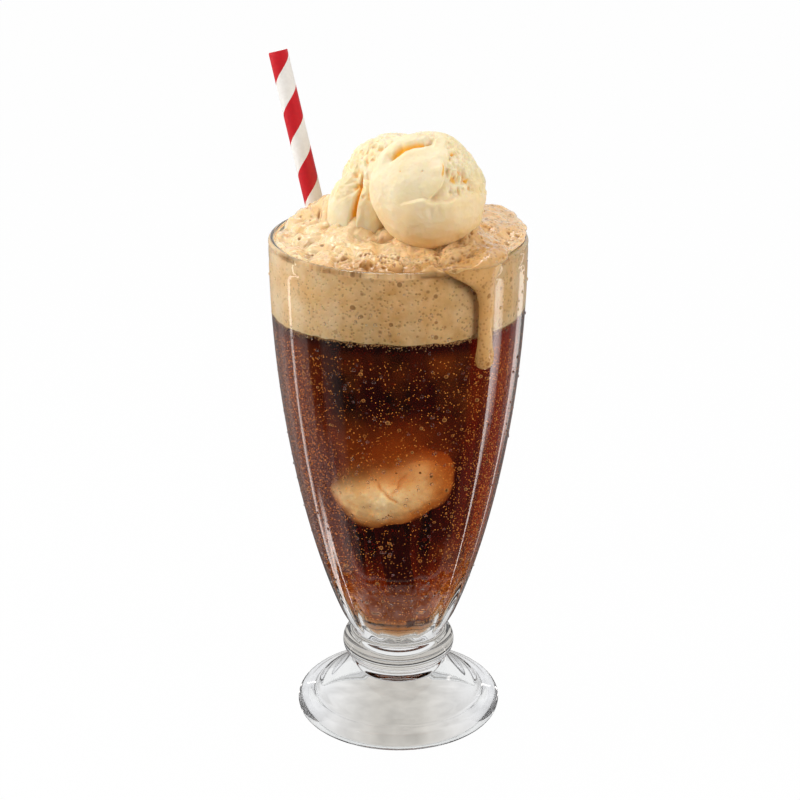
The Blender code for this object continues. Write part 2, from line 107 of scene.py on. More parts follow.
def lattice_noise(points: Array, cell: float, seed: int) -> Array:
    """Smooth random values in space.

    Each corner of a cubic lattice gets a random value through a hash of its three indices, and a point takes
    the eight corners of its cell, blended by smooth steps.

    Args:
        points: Places, with x, y and z last.
        cell: Side of a lattice cell.
        seed: Picks the table of random values.

    Returns:
        One value from -1 to 1 for each place.
    """
    table = np.random.default_rng(seed).uniform(-1.0, 1.0, TABLE_SIZE)
    scaled = points / cell
    base = np.floor(scaled).astype(np.int64)
    share = smooth_step(scaled - base, 0.0, 1.0)
    total = np.zeros(points.shape[:-1])
    for corner in np.ndindex(2, 2, 2):
        weight = np.prod(np.where(np.array(corner) == 1, share, 1.0 - share), axis=-1)
        total += weight * table[lattice_key(base + np.array(corner))]
    return total


def fractal_noise(points: Array, cell: float, octaves: int, seed: int) -> Array:
    """Sum of lattice noises, each with half the cell and half the strength of the one before.

    Args:
        points: Places, with x, y and z last.
        cell: Side of the largest lattice cell.
        octaves: How many noises are added.
        seed: Picks the random values.

    Returns:
        One value for each place, roughly from -1 to 1.
    """
    total = np.zeros(points.shape[:-1])
    for octave in range(octaves):
        total += 0.5**octave * lattice_noise(points, cell * 0.5**octave, seed + octave)
    return total / 1.5


def bubble_domes(points: Array, cell: float, seed: int) -> Array:
    """Packed round domes, as bubbles on foam have.

    Every lattice cell holds one random centre. A point takes the nearest centre of its own and the neighbour
    cells, at distance d, and the dome there is the root of 1 - (d / cell)^2, or 0 beyond it.

    Args:
        points: Places, with x, y and z last.
        cell: Side of a lattice cell, about the domes' spacing.
        seed: Picks the random centres.

    Returns:
        Height of the dome at each place, from 0 to 1.
    """
    table = np.random.default_rng(seed).uniform(0.0, 1.0, (TABLE_SIZE, 3))
    scaled = points / cell
    base = np.floor(scaled).astype(np.int64)
    nearest = np.full(points.shape[:-1], 9.0)
    for step in np.ndindex(3, 3, 3):
        index = base + np.array(step) - 1
        centre = index + table[lattice_key(index)]
        nearest = np.minimum(nearest, ((scaled - centre) ** 2).sum(axis=-1))
    return np.sqrt(np.maximum(1.0 - nearest, 0.0))


def full_turn(count: int) -> Array:
    """Azimuths in degrees of columns that stand evenly all the way round."""
    return np.arange(count) * 360.0 / count


def from_front(azimuth: Array) -> Array:
    """The same azimuths in degrees, from -180 to 180, with 0 at the front."""
    return (azimuth + 180.0) % 360.0 - 180.0


def around(azimuth: Array, radius: Array, height: Array) -> Array:
    """Places round the axis.

    Args:
        azimuth: Degrees, 0 at the front and 90 at the right.
        radius: Distance from the axis.
        height: Height above the table.

    Returns:
        Places with x, y and z last.
    """
    angle = np.radians(azimuth)
    return np.stack(np.broadcast_arrays(radius * np.sin(angle), -radius * np.cos(angle), height), axis=-1)


def arc(centre: tuple, size: tuple, start: float, end: float, count: int) -> Array:
    """Points of an elliptic arc in the plane of radius and height.

    Args:
        centre: The ellipse's centre.
        size: Its half width and half height.
        start: First angle in degrees, 0 outwards and 90 up.
        end: Last angle in degrees.
        count: How many points.

    Returns:
        Points (radius, height).
    """
    angles = np.radians(np.linspace(start, end, count))
    return np.stack([centre[0] + size[0] * np.cos(angles), centre[1] + size[1] * np.sin(angles)], axis=1)


def grid_normals(places: Array) -> Array:
    """Unit normals of a grid of places whose columns close on themselves.

    Args:
        places: Grid with shape (rows, columns, 3).

    Returns:
        The cross product of the step across and the step along, made a unit, in the same shape.
    """
    across = np.roll(places, -1, axis=1) - np.roll(places, 1, axis=1)
    along = np.gradient(places, axis=0)
    normal = np.cross(across, along)
    return normal / np.maximum(np.linalg.norm(normal, axis=-1, keepdims=True), 1e-12)


def fill_mesh(name: str, places: Array, faces: Array) -> Mesh:
    """Makes a smooth mesh from places and faces, whole arrays at a time.

    Args:
        name: The mesh's name.
        places: Vertices with shape (count, 3).
        faces: Vertex indices, three or four a row. Where a row of four ends with the same index twice, the
            face is a triangle.

    Returns:
        The mesh, with its faces turned outwards if it is closed.
    """
    triangles = faces[:, 2] == faces[:, -1] if faces.shape[1] == 4 else np.ones(len(faces), bool)
    corners = places[faces[:, :3]]
    volume = np.linalg.det(corners).sum()
    if faces.shape[1] == 4:
        volume += np.linalg.det(places[faces[:, [0, 2, 3]]]).sum()
    if volume < 0.0:
        faces = np.where(triangles[:, None], faces[:, [1, 0, 2, 2][: faces.shape[1]]], faces[:, ::-1])
    sizes = np.where(triangles, 3, faces.shape[1])
    keep = np.arange(faces.shape[1])[None, :] < sizes[:, None]
    mesh = bpy.data.meshes.new(name)
    mesh.vertices.add(len(places))
    mesh.vertices.foreach_set("co", places.astype(np.float32).ravel())
    mesh.loops.add(int(sizes.sum()))
    mesh.loops.foreach_set("vertex_index", faces[keep].astype(np.int32))
    mesh.polygons.add(len(faces))
    mesh.polygons.foreach_set("loop_start", np.concatenate([[0], np.cumsum(sizes)[:-1]]).astype(np.int32))
    mesh.update(calc_edges=True)
    mesh.polygons.foreach_set("use_smooth", np.ones(len(faces), bool))
    mesh.update()
    return mesh


def add_piece(name: str, mesh: Mesh, look: Material, slot: Slot, *nodes: str) -> None:
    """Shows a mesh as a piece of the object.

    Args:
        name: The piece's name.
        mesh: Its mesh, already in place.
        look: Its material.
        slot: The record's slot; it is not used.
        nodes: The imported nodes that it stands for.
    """
    piece = bpy.data.objects.new(name, mesh)
    bpy.context.scene.collection.objects.link(piece)
    mesh.materials.append(look)
    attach(piece, BODY)
    if nodes:
        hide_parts(*nodes)
    LOG.info("%s: %d faces", name, len(mesh.polygons))


def grid_faces(low: Array, high: Array, here: Array, after: Array) -> Array:
    """Four-cornered faces between neighbouring rows and columns of a grid.

    Args:
        low: First vertex of the row on one side of each band of faces, as a column.
        high: First vertex of the row on its other side, as a column.
        here: Columns on one side of the faces.
        after: Columns on the other side.

    Returns:
        Vertex indices, four a row.
    """
    return np.stack([low + here, low + after, high + after, high + here], axis=-1).reshape(-1, 4)


def loft(name: str, rows: Array, start: Array | None = None, end: Array | None = None) -> Mesh:
    """Joins closed rows of places into a surface, with a fan of triangles to a pole at either end.

    Args:
        name: The mesh's name.
        rows: Grid with shape (rows, columns, 3), whose columns close on themselves.
        start: Pole before the first row, or None to leave it open.
        end: Pole after the last row, or None to leave it open.

    Returns:
        The mesh.
    """
    count, columns = rows.shape[:2]
    here = np.arange(columns)
    after = np.roll(here, -1)
    low = (np.arange(count - 1) * columns)[:, None]
    parts = [rows.reshape(-1, 3)]
    faces = [grid_faces(low, low + columns, here, after)]
    total = count * columns
    for pole, first, turned in ((start, 0, True), (end, (count - 1) * columns, False)):
        if pole is None:
            continue
        tip = np.full(columns, total)
        pair = (first + after, first + here) if turned else (first + here, first + after)
        faces.append(np.stack([*pair, tip, tip], axis=-1))
        parts.append(np.asarray(pole, float).reshape(1, 3))
        total += 1
    return fill_mesh(name, np.concatenate(parts), np.concatenate(faces))


def store(mesh: Mesh, name: str, values: Array) -> None:
    """Keeps one value for each vertex as an attribute, with 0 at the vertices that are left over.

    Args:
        mesh: The mesh.
        name: The attribute's name.
        values: Values in the order of the vertices.
    """
    padded = np.zeros(len(mesh.vertices), np.float32)
    padded[: values.size] = values.ravel()
    mesh.attributes.new(name, "FLOAT", "POINT").data.foreach_set("value", padded)


class Tree:
    """A node tree, with short ways to add and join its nodes."""

    def __init__(self, tree: bpy.types.NodeTree) -> None:
        """Takes the tree."""
        self.tree = tree

    def join(self, source: Socket, target: Socket) -> None:
        """Joins an output to an input."""
        self.tree.links.new(source, target)

    def fill(self, node: bpy.types.Node, inputs: dict) -> None:
        """Sets or joins a node's inputs.

        Args:
            node: The node.
            inputs: Values or sockets for its inputs, by name or number.
        """
        for key, value in inputs.items():
            socket = node.inputs[key]
            if isinstance(value, Socket):
                self.join(value, socket)
            elif socket.type == "RGBA" and len(value) == 3:
                socket.default_value = (*value, 1.0)
            else:
                socket.default_value = value

    def add(self, kind: str, inputs: dict | None = None, **settings: object) -> bpy.types.Node:
        """Adds a node.

        Args:
            kind: The node's type without its ShaderNode prefix.
            inputs: Values or sockets for its inputs, by name or number.
            settings: Properties of the node.

        Returns:
            The new node.
        """
        node = self.tree.nodes.new("ShaderNode" + kind)
        for key, value in settings.items():
            setattr(node, key, value)
        self.fill(node, inputs or {})
        return node

    def here(self) -> Socket:
        """Object coordinates."""
        return self.add("TexCoord").outputs["Object"]

    def attribute(self, name: str) -> Socket:
        """Values that a mesh keeps under a name."""
        return self.add("Attribute", attribute_name=name).outputs["Fac"]

    def math(self, operation: str, *values: Socket | float) -> Socket:
        """Puts one or two values through an operation."""
        return self.add("Math", dict(enumerate(values)), operation=operation).outputs[0]

    def mix(self, share: Socket, first: object, second: object, kind: str = "RGBA") -> Socket:
        """Goes from the first colour to the second as the share rises, or between numbers for FLOAT."""
        return self.add("Mix", {"Factor": share, "A": first, "B": second}, data_type=kind).outputs["Result"]

    def ramp(self, value: Socket, low: object, high: object, start: float, end: float) -> Socket:
        """Maps a value from low and high to start and end, clamped."""
        inputs = {"Value": value, "From Min": low, "From Max": high, "To Min": start, "To Max": end}
        return self.add("MapRange", inputs).outputs["Result"]

    def noise(self, scale: Socket | float, detail: float) -> Socket:
        """Soft noise on Object coordinates."""
        return self.add("TexNoise", {"Vector": self.here(), "Scale": scale, "Detail": detail}).outputs["Fac"]

    def bump(self, strength: float, distance: float, height: Socket) -> Socket:
        """Normals that follow a height."""
        return self.add("Bump", {"Strength": strength, "Distance": distance, "Height": height}).outputs[0]

    def emission(self, colour: object, strength: Socket | float) -> Socket:
        """Shader that gives out light."""
        return self.add("Emission", {"Color": colour, "Strength": strength}).outputs[0]

    def either(self, share: Socket, first: Socket, second: Socket) -> Socket:
        """Goes from the first shader to the second as the share rises."""
        return self.add("MixShader", {0: share, 1: first, 2: second}).outputs[0]


class Sheet(Tree):
    """A material's node tree, round its Principled shader."""

    def __init__(self, name: str) -> None:
        """Starts the material.

        Args:
            name: Its name.
        """
        self.material = bpy.data.materials.new(name)
        self.material.use_nodes = True
        super().__init__(self.material.node_tree)
        self.shader = self.tree.nodes["Principled BSDF"]
        self.output = self.tree.nodes["Material Output"]

    def dress(self, **inputs: object) -> None:
        """Sets the Principled shader's sockets, with the spaces in their names written as underscores."""
        self.fill(self.shader, {key.replace("_", " "): value for key, value in inputs.items()})

    def make_clear(self, tint: Colour, bend: float, **inputs: object) -> None:
        """Makes a smooth clear body. Shadow rays pass straight through it, so that what is inside is lit.

        Args:
            tint: Its colour.
            bend: Its index of refraction.
            inputs: Further sockets of the shader, as dress takes them.
        """
        self.dress(Base_Color=tint, Roughness=0.0, IOR=bend, Transmission_Weight=1.0, **inputs)
        shadow = self.add("LightPath").outputs["Is Shadow Ray"]
        clear = self.add("BsdfTransparent").outputs[0]
        self.join(self.either(shadow, self.shader.outputs[0], clear), self.output.inputs["Surface"])


class Effects:
    """Node groups that more than one material uses."""

    def __init__(self) -> None:
        """Builds each group once."""
        self.mottle = self.make_mottle()
        self.pores = self.make_pores()

    @staticmethod
    def start(name: str, inputs: dict, outputs: dict) -> tuple:
        """Makes an empty group.

        Args:
            name: The group's name.
            inputs: Names of its inputs, with the default of each, a number or a colour.
            outputs: Names of its outputs, with the socket type of each.

        Returns:
            The group's tree, the sockets that bring its inputs, and the sockets that take its outputs.
        """
        group = bpy.data.node_groups.new(name, "ShaderNodeTree")
        for label, value in inputs.items():
            kind = "NodeSocketFloat" if isinstance(value, float) else "NodeSocketColor"
            group.interface.new_socket(label, in_out="INPUT", socket_type=kind).default_value = value
        for label, kind in outputs.items():
            group.interface.new_socket(label, in_out="OUTPUT", socket_type=kind)
        given = group.nodes.new("NodeGroupInput")
        result = group.nodes.new("NodeGroupOutput")
        return Tree(group), given.outputs, result.inputs

    def make_mottle(self) -> bpy.types.NodeTree:
        """Cloudy mix of two colours by a soft noise.

        Returns:
            The group. Its outputs are the colour and the share of the dark one.
        """
        tree, given, result = self.start(
            "mottle",
            {"Light": (*WHITE, 1.0), "Dark": (0.5, 0.5, 0.5, 1.0), "Scale": 200.0, "Share": 0.5},
            {"Colour": "NodeSocketColor", "Mask": "NodeSocketFloat"},
        )
        cloud = tree.ramp(tree.noise(given["Scale"], 4.0), 0.35, 0.65, 0.0, 1.0)
        share = tree.math("MULTIPLY", cloud, given["Share"])
        tree.join(tree.mix(share, given["Light"], given["Dark"]), result["Colour"])
        tree.join(share, result["Mask"])
        return tree.tree

    def make_pores(self) -> bpy.types.NodeTree:
        """Small round pores, each in a cell of its own.

        Returns:
            The group. Its outputs are a mask of the pores and a height that dips in each of them.
        """
        tree, given, result = self.start(
            "pores",
            {"Scale": 800.0, "Size": 0.3, "Share": 0.4},
            {"Mask": "NodeSocketFloat", "Height": "NodeSocketFloat"},
        )
        place = tree.here()
        cells = tree.add("TexVoronoi", {"Vector": place, "Scale": given["Scale"], "Randomness": 1.0})
        pick = tree.add("SeparateColor", {0: cells.outputs["Color"]})
        chosen = tree.math("LESS_THAN", pick.outputs[0], given["Share"])
        reach = tree.math("MULTIPLY", given["Size"], pick.outputs[1])
        near = tree.ramp(cells.outputs["Distance"], reach, given["Size"], 1.0, 0.0)
        mask = tree.math("MULTIPLY", near, chosen)
        fine = tree.add("TexVoronoi", {"Vector": place, "Scale": given["Scale"]}, feature="SMOOTH_F1")
        tree.join(mask, result["Mask"])
        tree.join(tree.math("SUBTRACT", fine.outputs["Distance"], mask), result["Height"])
        return tree.tree

    def cloud(self, sheet: Sheet, light: Colour, dark: Colour, scale: float, share: float) -> bpy.types.Node:
        """Places the cloudy mix in a material."""
        inputs = {"Light": light, "Dark": dark, "Scale": scale, "Share": share}
        return sheet.add("Group", inputs, node_tree=self.mottle)

    def dots(self, sheet: Sheet, scale: float, size: float, share: float) -> bpy.types.Node:
        """Places the pores in a material."""
        return sheet.add("Group", {"Scale": scale, "Size": size, "Share": share}, node_tree=self.pores)


@dataclass(frozen=True)
class ClearGlass:
    """Clear pressed glass."""

    tint: Colour = (0.985, 0.995, 0.995)
    bend: float = 1.5

    def build(self) -> Material:
        """Makes the material, with a faint waviness from the mould.

        Returns:
            The material.
        """
        sheet = Sheet("clear_glass")
        sheet.make_clear(self.tint, self.bend, Normal=sheet.bump(0.05, 0.4 * MM, sheet.noise(60.0, 1.0)))
        return sheet.material


@dataclass(frozen=True)
class ColaLiquid:
    """Clear brown cola, which takes the blue light first, then the green and then the red."""

    passed: Colour = (0.82, 0.48, 0.02)
    density: float = 155.0
    bend: float = 1.34
    sheen: Colour = (0.30, 0.12, 0.04)

    def build(self) -> Material:
        """Makes a clear surface round an absorbing volume.

        Returns:
            The material.
        """
        sheet = Sheet("cola")
        sheet.make_clear(WHITE, self.bend, Specular_Tint=self.sheen)
        volume = sheet.add("VolumeAbsorption", {"Color": self.passed, "Density": self.density})
        sheet.join(volume.outputs[0], sheet.output.inputs["Volume"])
        return sheet.material


@dataclass(frozen=True)
class FoamSkin:
    """Tan foam of fine bubbles: cream on top, browner against the glass, with painted shade at the front and
    the right, dark in its pits and pinholes, and with painted shade in the creases between its bubbles.
    """

    light: Colour = (0.94, 0.73, 0.44)
    dark: Colour = (0.83, 0.52, 0.21)
    # Colours of the foam against the glass, also painted as shade at the front and the right.
    deep_shaded_light: Colour = (0.92, 0.58, 0.26)
    deep_shaded_dark: Colour = (0.74, 0.41, 0.14)
    # Darker tan of the front rim and the drip, also painted as shade on the drip's left side.
    tan_and_shade: Colour = (0.55, 0.28, 0.085)
    pore: Colour = (0.24, 0.09, 0.02)
    # Colour of the pits, also painted as shade into the creases and hollows between bubbles.
    pit: Colour = (0.34, 0.13, 0.025)

    def build(self, effects: Effects) -> Material:
        """Makes the material from three attributes: browner foam, darker tan and pits, which all carry
        painted shade as well.

        Args:
            effects: The shared node groups.

        Returns:
            The material.
        """
        sheet = Sheet("foam")
        # Share of browner foam against the glass, with painted shade at the front, the right and by the
        # flutes.
        depth = sheet.attribute("deep_and_shade")
        top = effects.cloud(sheet, self.light, self.dark, 110.0, 0.8)
        deep_and_shade = effects.cloud(sheet, self.deep_shaded_light, self.deep_shaded_dark, 240.0, 0.9)
        colour = sheet.mix(depth, top.outputs["Colour"], deep_and_shade.outputs["Colour"])
        # Darker tan near the front rim and on the drip, with painted shade on the drip's left side.
        colour = sheet.mix(sheet.attribute("tan_and_shade"), colour, self.tan_and_shade)
        large = effects.dots(sheet, 330.0, 0.30, 0.26)
        small = effects.dots(sheet, 820.0, 0.40, 0.72)
        faint = sheet.math("MULTIPLY", small.outputs["Mask"], 0.6)
        pores = sheet.math("MAXIMUM", large.outputs["Mask"], faint)
        strength = sheet.ramp(depth, 0.0, 0.6, 0.12, 0.64)
        colour = sheet.mix(sheet.math("MULTIPLY", pores, strength), colour, self.pore)
        # Dark pits, and painted shade in the creases and hollows between bubbles.
        colour = sheet.mix(sheet.attribute("pit"), colour, self.pit)
        sheet.dress(
            Base_Color=colour,
            Roughness=0.22,
            Coat_Weight=0.7,
            Coat_Roughness=0.06,
            Subsurface_Weight=0.3,
            Subsurface_Radius=(1.0, 0.5, 0.2),
            Subsurface_Scale=2.0 * MM,
            Normal=sheet.bump(0.6, 0.2 * MM, small.outputs["Height"]),
        )
        return sheet.material


@dataclass(frozen=True)
class IceCreamSkin:
    """Vanilla ice cream: pale cream, with painted shade of a strong yellow in its clefts and pits, and a soft
    shine.
    """

    name: str = "ice_cream"
    light: Colour = (0.88, 0.76, 0.53)
    dark: Colour = (0.86, 0.70, 0.41)
    cleft: Colour = (0.92, 0.46, 0.03)
    glow: float = 0.0
    fades: bool = False

    def build(self, effects: Effects) -> Material:
        """Makes the material from the attribute "cleft", which paints shade into the clefts and pits in a
        strong yellow.

        Where it fades, the ice cream thins out into the drink as its attribute "solid" falls.

        Args:
            effects: The shared node groups.

        Returns:
            The material.
        """
        sheet = Sheet(self.name)
        ground = effects.cloud(sheet, self.light, self.dark, 140.0, 0.8)
        # Painted shade: clefts, pits and shaded parts turn a strong yellow.
        colour = sheet.mix(sheet.attribute("cleft"), ground.outputs["Colour"], self.cleft)
        pores = effects.dots(sheet, 1100.0, 0.3, 0.2)
        sheet.dress(
            Base_Color=colour,
            Roughness=0.42,
            Subsurface_Weight=0.35,
            Subsurface_Radius=(1.0, 0.55, 0.2),
            Subsurface_Scale=4.0 * MM,
            # Painted light: the glow, which only the sunk scoop has.
            Emission_Color=colour,
            Emission_Strength=self.glow,
            Normal=sheet.bump(0.25, 0.2 * MM, pores.outputs["Height"]),
        )
        if self.fades:
            sheet.dress(Alpha=sheet.attribute("solid"))
        return sheet.material


@dataclass(frozen=True)
class HazeSkin:
    """Thin brown haze in the drink, seen through where its attribute "haze" is low, with a faint glow of
    painted light.
    """

    colour: Colour = (0.66, 0.20, 0.02)
    glow: float = 0.08

    def build(self) -> Material:
        """Makes the material.

        Returns:
            The material.
        """
        sheet = Sheet("haze")
        sheet.dress(
            Base_Color=self.colour,
            Roughness=1.0,
            Emission_Color=self.colour,
            # Painted light: the haze glows faintly.
            Emission_Strength=self.glow,
            Alpha=sheet.attribute("haze"),
        )
        return sheet.material


@dataclass(frozen=True)
class StripedPaper:
    """White paper with one red stripe wound round it as a helix, soaked brown where it stands in the drink.

    The stripe is where the length over the lead, less the share of a turn, has a fraction below the stripe's
    share.
    """

    red: Colour = (0.60, 0.006, 0.014)
    red_fibre: Colour = (0.46, 0.008, 0.016)
    white: Colour = (0.86, 0.83, 0.79)
    white_fibre: Colour = (0.76, 0.72, 0.67)
    wet: Colour = (0.16, 0.05, 0.015)
    lead: float = 22.0 * MM
    stripe_share: float = 0.5
    wet_below: float = 112.0 * MM
    dry_above: float = 124.0 * MM

    def build(self, effects: Effects) -> Material:
        """Makes the material from the UV map "paper", with u once round and v the length in metres.

        Args:
            effects: The shared node groups.

        Returns:
            The material.
        """
        sheet = Sheet("striped_paper")
        place = sheet.add("SeparateXYZ", {0: sheet.add("UVMap", uv_map="paper").outputs["UV"]}).outputs
        turns = sheet.math("MULTIPLY", place["Y"], 1.0 / self.lead)
        wound = sheet.math("FRACT", sheet.math("SUBTRACT", turns, place["X"]))
        stripe = sheet.math("LESS_THAN", wound, self.stripe_share)
        fibre = effects.cloud(sheet, self.white, self.white_fibre, 900.0, 0.5)
        ink = effects.cloud(sheet, self.red, self.red_fibre, 900.0, 0.5)
        colour = sheet.mix(stripe, fibre.outputs["Colour"], ink.outputs["Colour"])
        soaked = sheet.ramp(place["Y"], self.wet_below, self.dry_above, 0.9, 0.0)
        colour = sheet.mix(soaked, colour, self.wet)
        bump = sheet.bump(0.15, 0.1 * MM, fibre.outputs["Mask"])
        sheet.dress(Base_Color=colour, Roughness=0.5, Normal=bump)
        return sheet.material


@dataclass(frozen=True)
class BubbleSkin:
    """Bubbles in the drink, in painted light: one colour where they face the viewer, another at their edge,
    and a glow.
    """

    name: str
    middle: Colour
    edge: Colour
    glow: float

    def build(self) -> Material:
        """Makes the material.

        Returns:
            The material.
        """
        sheet = Sheet(self.name)
        facing = sheet.add("LayerWeight", {"Blend": 0.35}).outputs["Facing"]
        colour = sheet.mix(facing, self.middle, self.edge)
        # Painted light: the bubbles glow in the colours of their glints.
        sheet.dress(Base_Color=colour, Roughness=0.15, Emission_Color=colour, Emission_Strength=self.glow)
        return sheet.material


@dataclass(frozen=True)
class Water:
    """Clear water."""

    bend: float = 1.33

    def build(self) -> Material:
        """Makes the material.

        Returns:
            The material.
        """
        sheet = Sheet("dew")
        sheet.make_clear(WHITE, self.bend)
        return sheet.material


@dataclass(frozen=True)
class GlassForm:
    """Profile of the glass, as its solid has it. Heights are measured from the table."""

    height: float = 184.8 * MM
    rim_radius: float = 45.2 * MM
    lip_radius: float = 1.3 * MM
    top_height: float = 178.0 * MM
    top_radius: float = 44.92 * MM
    base_height: float = 32.3 * MM
    base_radius: float = 16.2 * MM
    belly_power: float = 1.89
    rounding_power: float = 0.824
    wall: float = 2.6 * MM
    wall_extra: float = 7.6 * MM
    wall_thickens_from: float = 68.0 * MM
    wall_thickest_at: float = 38.0 * MM
    bore_round_top: float = 41.0 * MM
    bore_bottom: float = 35.0 * MM
    flute_count: int = 18
    flute_depth: float = 0.45 * MM
    flute_top: float = 181.0 * MM
    flute_full_below: float = 176.0 * MM
    flute_base: float = 34.0 * MM
    flute_full_above: float = 40.0 * MM
    knop_height: float = 27.5 * MM
    knop_radius: float = 20.7 * MM
    knop_half_height: float = 5.2 * MM
    knop_depth: float = 3.9 * MM
    neck_radius: float = 16.9 * MM
    neck_height: float = 21.2 * MM
    foot_radius: float = 37.9 * MM
    foot_edge: float = 3.1 * MM
    hollow_radius: float = 31.8 * MM
    shoulder_radius: float = 12.5 * MM
    shoulder_height: float = 14.2 * MM
    hollow_height: float = 15.6 * MM

    def outer(self, z: Array) -> Array:
        """Radius of the bowl's outside midway between two ridges.

        It is base + (top - base) (1 - (1 - t)^a)^b, where t is the share of the bowl's height.

        Args:
            z: Heights above the table.

        Returns:
            The radius at each height.
        """
        share = np.clip((z - self.base_height) / (self.top_height - self.base_height), 0.0, 1.0)
        swell = (1.0 - (1.0 - share) ** self.belly_power) ** self.rounding_power
        return self.base_radius + (self.top_radius - self.base_radius) * swell

    def inner(self, z: Array) -> Array:
        """Radius of the bowl's inside: the outside less a wall that thickens towards the base."""
        extra = self.wall_extra * smooth_step(z, self.wall_thickens_from, self.wall_thickest_at)
        return self.outer(z) - self.wall - extra

    def bore(self, low: float, high: float, count: int, grow: float) -> Array:
        """Points (radius, height) up the bore between two heights, grown outwards."""
        z = np.linspace(low, high, count)
        return np.stack([self.inner(z) + grow, z], axis=1)

    def bore_floor(self, grow: float, count: int) -> Array:
        """The round floor of the bore from near the axis outwards.

        Args:
            grow: How far it is grown outwards.
            count: How many points.

        Returns:
            Points (radius, height).
        """
        radius = float(self.inner(np.array(self.bore_round_top))) + grow
        depth = self.bore_round_top - self.bore_bottom + grow
        return arc((0.0, self.bore_round_top), (radius, depth), -88.0, 0.0, count)

    def from_flute(self, azimuth: Array) -> Array:
        """Distance from the middle of the nearest flute, as a share of half its width."""
        turn = azimuth / 360.0 * self.flute_count
        return 2.0 * np.abs(turn - np.round(turn - 0.5) - 0.5)


@dataclass
class SodaGlass:
    """The glass: a fluted bowl, a knop and a hollow foot, pressed in one piece."""

    form: GlassForm
    steps_a_flute: int = 10
    foot_points: int = 60
    floor_points: int = 14
    bore_points: int = 70
    rim_points: int = 16
    groove_radius: float = 31.2 * MM
    groove_width: float = 1.1 * MM
    groove_depth: float = 1.1 * MM

    def profile(self) -> Array:
        """The section, from the inner floor up over the rim, down the outside and under the foot.

        Returns:
            Points (radius, height).
        """
        form = self.form
        lip = form.lip_radius
        edge = form.foot_edge
        shoulder = form.height - lip
        knop_centre = (form.knop_radius - form.knop_depth, form.knop_height)
        outside = np.concatenate(
            [
                np.linspace(shoulder - 0.6 * MM, form.flute_full_below, 12),
                np.linspace(form.flute_full_below - 1.5 * MM, form.flute_full_above, 60),
                np.linspace(form.flute_full_above - 0.8 * MM, form.base_height + 0.8 * MM, 8),
            ]
        )
        return np.concatenate(
            [
                form.bore_floor(0.0, self.floor_points),
                form.bore(form.bore_round_top, shoulder, self.bore_points, 0.0)[1:-1],
                arc((form.rim_radius - lip, shoulder), (lip, lip), 180.0, 0.0, self.rim_points),
                np.stack([form.outer(outside), outside], axis=1),
                arc(knop_centre, (form.knop_depth, form.knop_half_height), 68.0, -68.0, 24),
                self.foot_top(),
                arc((form.foot_radius - edge, edge), (edge, edge), 90.0, -90.0, 16),
                self.foot_hollow(),
            ]
        )

    def foot_top(self) -> Array:
        """The foot's top from the neck outwards, with a shallow groove near its edge.

        The radius grows as s^1.3 and the height drops as s^0.93, where s is the share of the way.

        Returns:
            Points (radius, height).
        """
        form = self.form
        share = np.linspace(0.0, 1.0, self.foot_points + 1)[:-1]
        reach = form.foot_radius - form.foot_edge - form.neck_radius
        drop = form.neck_height - 2.0 * form.foot_edge
        radius = form.neck_radius + reach * share**1.3
        groove = self.groove_depth * bell(radius - self.groove_radius, self.groove_width)
        return np.stack([radius, form.neck_height - drop * share**0.93 - groove], axis=1)

    def foot_hollow(self) -> Array:
        """The hollow under the foot, from its edge inwards: a cone with a shallow round top.

        Returns:
            Points (radius, height).
        """
        form = self.form
        share = np.linspace(0.0, 1.0, 13)[:-1]
        start = np.array([form.hollow_radius - 0.6 * MM, 0.7 * MM])
        end = np.array([form.shoulder_radius, form.shoulder_height])
        cone = start + (end - start) * share[:, None]
        rise = form.hollow_height - form.shoulder_height
        top = arc((0.0, form.shoulder_height), (form.shoulder_radius, rise), 0.0, 88.0, 10)
        return np.concatenate([[[form.hollow_radius, 0.0]], cone, top])

    def ridge(self, azimuth: Array, z: Array) -> Array:
        """Height of the relief outside the bowl.

        Between two ridges it is the depth times the square of the distance from the middle of the flute, as a
        share, and it blends into the band under the rim along an arch over each flute.

        Args:
            azimuth: Azimuths in degrees.
            z: Heights above the table.

        Returns:
            How far the glass stands out at each place.
        """
        form = self.form
        off = form.from_flute(azimuth)
        crest = 0.62 * off**2 + 0.38 * (0.5 - 0.5 * np.cos(np.pi * off))
        below = smooth_step(z, form.flute_top, form.flute_full_below)
        above = smooth_step(z, form.flute_base, form.flute_full_above)
        arch = form.flute_top - 2.2 * MM - 3.6 * MM * off**2
        collar = band(z, arch, arch + 0.9 * MM, form.flute_top, form.height - 1.6 * MM)
        return form.flute_depth * np.maximum(crest * below * above, 0.55 * collar)

    def build(self, look: Material) -> None:
        """Turns the profile round the axis, with the relief on the outside of the bowl.

        Args:
            look: Its material.
        """
        form = self.form
        profile = self.profile()
        columns = form.flute_count * self.steps_a_flute
        azimuth = full_turn(columns)
        radius = np.repeat(profile[:, :1], columns, axis=1)
        height = np.repeat(profile[:, 1:], columns, axis=1)
        first = self.floor_points + self.bore_points - 2 + self.rim_points
        outside = (np.arange(len(profile)) >= first) & (profile[:, 1] > form.base_height)
        radius = radius + np.where(outside[:, None], self.ridge(azimuth[None, :], height), 0.0)
        rows = around(azimuth[None, :], radius, height)
        start = (0.0, 0.0, form.bore_bottom)
        end = (0.0, 0.0, form.hollow_height)
        add_piece("soda_glass", loft("soda_glass", rows, start, end), look, Slot.GLASS, "glass")


@dataclass(frozen=True)
class Boundary:
    """The line between the drink and the foam."""

    height: float = 159.2 * MM
    right_rise: float = 0.7 * MM

    def rise(self, x: Array, y: Array, radius: float) -> Array:
        """How far the boundary stands above its mean: higher at the right, with three ripples round."""
        ripple = 0.5 * MM * np.sin(3.0 * np.arctan2(y, x) + 1.0) * np.hypot(x, y) / radius
        return self.right_rise * x / radius + ripple


